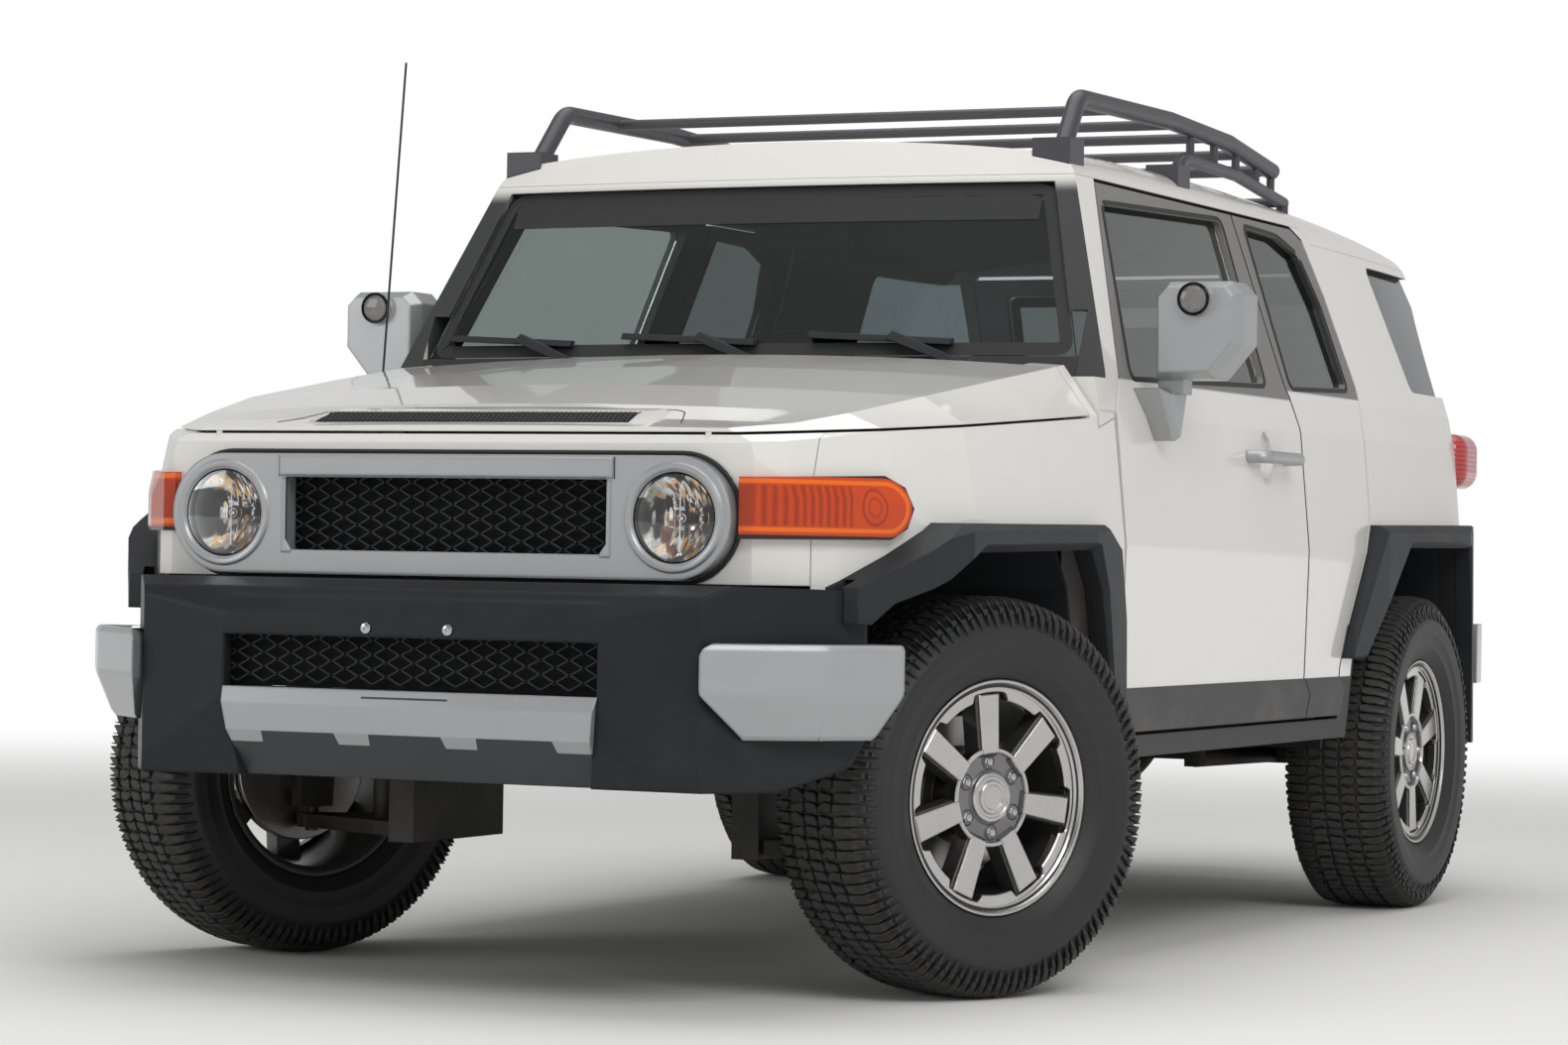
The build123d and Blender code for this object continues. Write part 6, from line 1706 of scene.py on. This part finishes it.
# %% Cabin mirror
inner_mirror = Form()
inner_mirror.add(*pad((0.118, 0.030, 0.014), laid(0, 872, 1.585, 80.0)))
inner_mirror.add(*tube([(0, st(868), 1.600), (0, st(852), 1.640)], 0.008))
piece("inner_mirror", inner_mirror, [finish["cabin_plastic"]], "root")
print("cabin mirror done")

# %% [markdown]
# ## Door mirrors
# Each silver mirror housing has a round courtesy lamp in front and a mirror glass behind, set in a
# black gasket. The glass is a metal with no roughness at all, which is how a mirror is made.

# %% Mirror glass and lamps
smoked_lens = lens("smoked_lens", (0.10, 0.094, 0.090), (0.24, 0.225, 0.215), "X", 0.004)
mirror_silver = bright_metal("mirror_silvering", (0.80, 0.82, 0.84), (0.86, 0.88, 0.90), 0.0, 8.0)
MIRROR_FINISHES = [finish["rubber"], mirror_silver, smoked_lens, black_gloss]
GASKET, SILVERING, SMOKED, LAMP_RING = range(4)
HOUSING = (
    (0.905, 1.256), (0.905, 1.436), (0.932, 1.464), (1.072, 1.464), (1.099, 1.436), (1.099, 1.33),
    (1.036, 1.256),
)
HOUSING_FRONT, HOUSING_BACK = st(688), st(826)
COURTESY_X, COURTESY_Z = 1.003, 1.424
COURTESY_RING = ((-0.002, 0.0362), (0.0022, 0.0356), (0.0034, 0.0335), (0.003, 0.0305), (0.0004, 0.0295))
COURTESY_DOME = ((0.0004, 0.03), (0.0022, 0.027), (0.004, 0.016), (0.0046, 0.0001))
for side, label in SIDES:
    mirror_form = Form()
    outline = [(side * x, z) for x, z in HOUSING]
    mirror_form.add(*plate(shrunk(outline, 0.007), -0.002, 0.0015, 0.001, behind(HOUSING_BACK)), GASKET)
    mirror_form.add(*plate(shrunk(outline, 0.012), 0.000, 0.0022, 0.0005, behind(HOUSING_BACK)), SILVERING)
    at_lamp = forwards(side * COURTESY_X, HOUSING_FRONT, COURTESY_Z)
    mirror_form.add(*turned(COURTESY_RING, 40), LAMP_RING, at_lamp)
    mirror_form.add(*turned(COURTESY_DOME, 40), SMOKED, at_lamp)
    piece(f"mirror_face_{label}", mirror_form, MIRROR_FINISHES, body_of[f"mirror_{label}"])
print("mirrors done")

# %% [markdown]
# ## Cabin
# Through the glass one sees the dashboard first. The CAD gives its slab and the steering wheel. The
# instrument hood, three round gauges on top, the air outlets and the centre panel are what a driver
# would miss. Everything is matt and dark, so that it doesn't mirror in the windshield.

# %% Dashboard
PLASTIC, VANE_RUBBER, SILVER = range(3)
DASH_FACE = 868
DRIVER_X, HOOD_HALF = 0.400, 0.165
GAUGE_HOOD = ((690, 1.18), (740, 1.235), (800, 1.238), (842, 1.215), (848, 1.15), (800, 1.14))
POD = ((-0.01, 0.034), (0.026, 0.034), (0.03, 0.03), (0.024, 0.028), (0.024, 0.0001))
KNOB = ((0.0, 0.022), (0.02, 0.019), (0.022, 0.016), (0.022, 0.0001))
POD_AT, POD_Z, POD_LEAN = 812, 1.196, 14.0
KNOB_AT = 880
OUTLET_HALF, OUTLET_LOW, OUTLET_HIGH, OUTLET_LEAN = 0.045, 1.085, 1.145, 0.25
VANE_AT, VANE_HALF, LOWEST_VANE, VANE_SPACING = 878, 0.04, 1.094, 0.014


def backwards(x, station, z, lean=0.0):
    """Swings a form built towards +X to face the rear, leaning up by an angle in degrees."""
    turn = Matrix.Rotation(math.pi / 2, 4, "Z") @ Matrix.Rotation(math.radians(-lean), 4, "Y")
    return Matrix.Translation((x, st(station), z)) @ turn


def on_dash(depth, a, b):
    middle = (OUTLET_LOW + OUTLET_HIGH) / 2
    return a, st(DASH_FACE) - OUTLET_LEAN * (b - middle) + depth, b


dash_form = Form()
gauge_hood = [(st(s), z) for s, z in GAUGE_HOOD]
dash_form.add(*plate(gauge_hood, DRIVER_X - HOOD_HALF, DRIVER_X + HOOD_HALF, 0.018), PLASTIC)
for x in (-0.085, 0.0, 0.085):
    dash_form.add(*turned(POD, 28), PLASTIC, backwards(x, POD_AT, POD_Z, POD_LEAN))
for x in (-0.70, -0.20, 0.20, 0.70):
    outlet = box_outline(x - OUTLET_HALF, x + OUTLET_HALF, OUTLET_LOW, OUTLET_HIGH)
    dash_form.add(*plate(outlet, -0.004, 0.006, 0.003, on_dash), PLASTIC)
    for k in range(4):
        z = LOWEST_VANE + VANE_SPACING * k
        vane = [(x - VANE_HALF, st(VANE_AT), z), (x + VANE_HALF, st(VANE_AT), z)]
        dash_form.add(*tube(vane, 0.0022, 6), VANE_RUBBER)
centre_panel = box_outline(-0.130, 0.130, 0.850, 1.160)
dash_form.add(*plate(centre_panel, -0.010, 0.012, 0.006, behind(st(DASH_FACE))), SILVER)
for z in (0.90, 0.96):
    for x in (-0.08, 0.0, 0.08):
        dash_form.add(*turned(KNOB, 24), PLASTIC, backwards(x, KNOB_AT, z))
DASH_FINISHES = [finish["cabin_plastic"], finish["rubber"], finish["silver_paint"]]
piece("dashboard_details", dash_form, DASH_FINISHES, "root")
print("dashboard done")

# %% [markdown]
# ## Floor, lamps and world
# The car stands on a plain pale floor in soft light, as if on a cloudy day. The world is white along
# the horizon, where the camera looks, a little darker half way up and bright overhead. That darker
# belt is what gives paint and chrome something to reflect. The floor takes the car's shadow and fades
# to white far out, so that no horizon line cuts the picture.

# %% Floor
FLOOR_HALF = 60.0
FLOOR_TONE = (0.80, 0.795, 0.785)
PURE_WHITE = (1.0, 1.0, 1.0)
corners = [(x * FLOOR_HALF, y * FLOOR_HALF, 0) for x, y in ((-1, -1), (1, -1), (1, 1), (-1, 1))]
floor_mesh = bpy.data.meshes.new("studio_floor")
floor_mesh.from_pydata(corners, [], [(0, 1, 2, 3)])
floor = placed("studio_floor", floor_mesh, Matrix())
floor_look, floor_shader, floor_place = surface("studio_floor", Roughness=0.9, Specular_IOR_Level=0.1)
feed(floor_shader, "Base Color", noise(floor_place, 0.7, 4.0).tint(shade(FLOOR_TONE, 0.98), FLOOR_TONE))
distance = floor_place.node("ShaderNodeVectorMath", {"operation": "LENGTH"}, {0: floor_place}, out=1)
far = distance.step(4.0, 11.0)
seen = floor_place.node("ShaderNodeLightPath")
for ray in ("Is Glossy Ray", "Is Transmission Ray"):
    seen = seen.maths("MAXIMUM", seen, floor_place.node("ShaderNodeLightPath").sibling(ray))
white = floor_place.node("ShaderNodeEmission", None, {"Color": (*PURE_WHITE, 1), "Strength": 1.0})
lit = Wire(floor_place.tree, floor_shader.outputs[0])
blended = white.node("ShaderNodeMixShader", None, {0: far * seen, 1: lit, 2: white})
floor_output = floor_look.node_tree.nodes["Material Output"]
floor_place.tree.links.new(blended.socket, floor_output.inputs["Surface"])
floor_mesh.materials.append(floor_look)
print("floor", 2 * FLOOR_HALF, "m across")

# %% World
SKY_LEVEL = 0.62
BELT_TONE = (0.10, 0.12, 0.10)
world = bpy.data.worlds.new("studio")
bpy.context.scene.world = world
world.use_nodes = True
sky = world.node_tree.nodes["Background"]
toward = Wire(world.node_tree).node("ShaderNodeTexCoord", out=0)
x, z = axes(toward)[::2]
# the belt is fainter towards +X, which the side in the picture mirrors
belt = z.band(0.22, 0.42, 0.62, 0.88) * (1 - x.step(-0.1, 0.8) * 0.75)
camera_ray = toward.node("ShaderNodeLightPath").sibling("Is Camera Ray")
sky_tone = (belt * 0.72).clamp().tint(PURE_WHITE, BELT_TONE)
feed(sky, "Color", camera_ray.tint(sky_tone, PURE_WHITE))
feed(sky, "Strength", camera_ray * (1 - SKY_LEVEL) + SKY_LEVEL)
print("sky level", SKY_LEVEL)

# %% Lamps
# name, place, aim, width, height, watts
LAMPS = (
    ("key_softbox", (6.0, -6.5, 6.5), (0, -0.4, 0.8), 5.0, 3.5, 330.0),
    ("top_softbox", (0.0, 0.0, 7.0), (0, 0, 0), 6.0, 7.0, 210.0),
    ("fill_softbox", (-6.0, -7.0, 3.5), (0, -1.0, 0.8), 4.0, 3.0, 110.0),
)
for name, place, aim, width, tall, watts in LAMPS:
    data = bpy.data.lights.new(name, "AREA")
    data.shape = "RECTANGLE"
    data.size, data.size_y, data.energy = width, tall, watts
    swing = (Vector(aim) - Vector(place)).to_track_quat("-Z", "Y").to_matrix().to_4x4()
    placed(name, data, Matrix.Translation(place) @ swing)
bpy.context.scene.view_settings.view_transform = "Standard"
print("lamps", len(LAMPS))
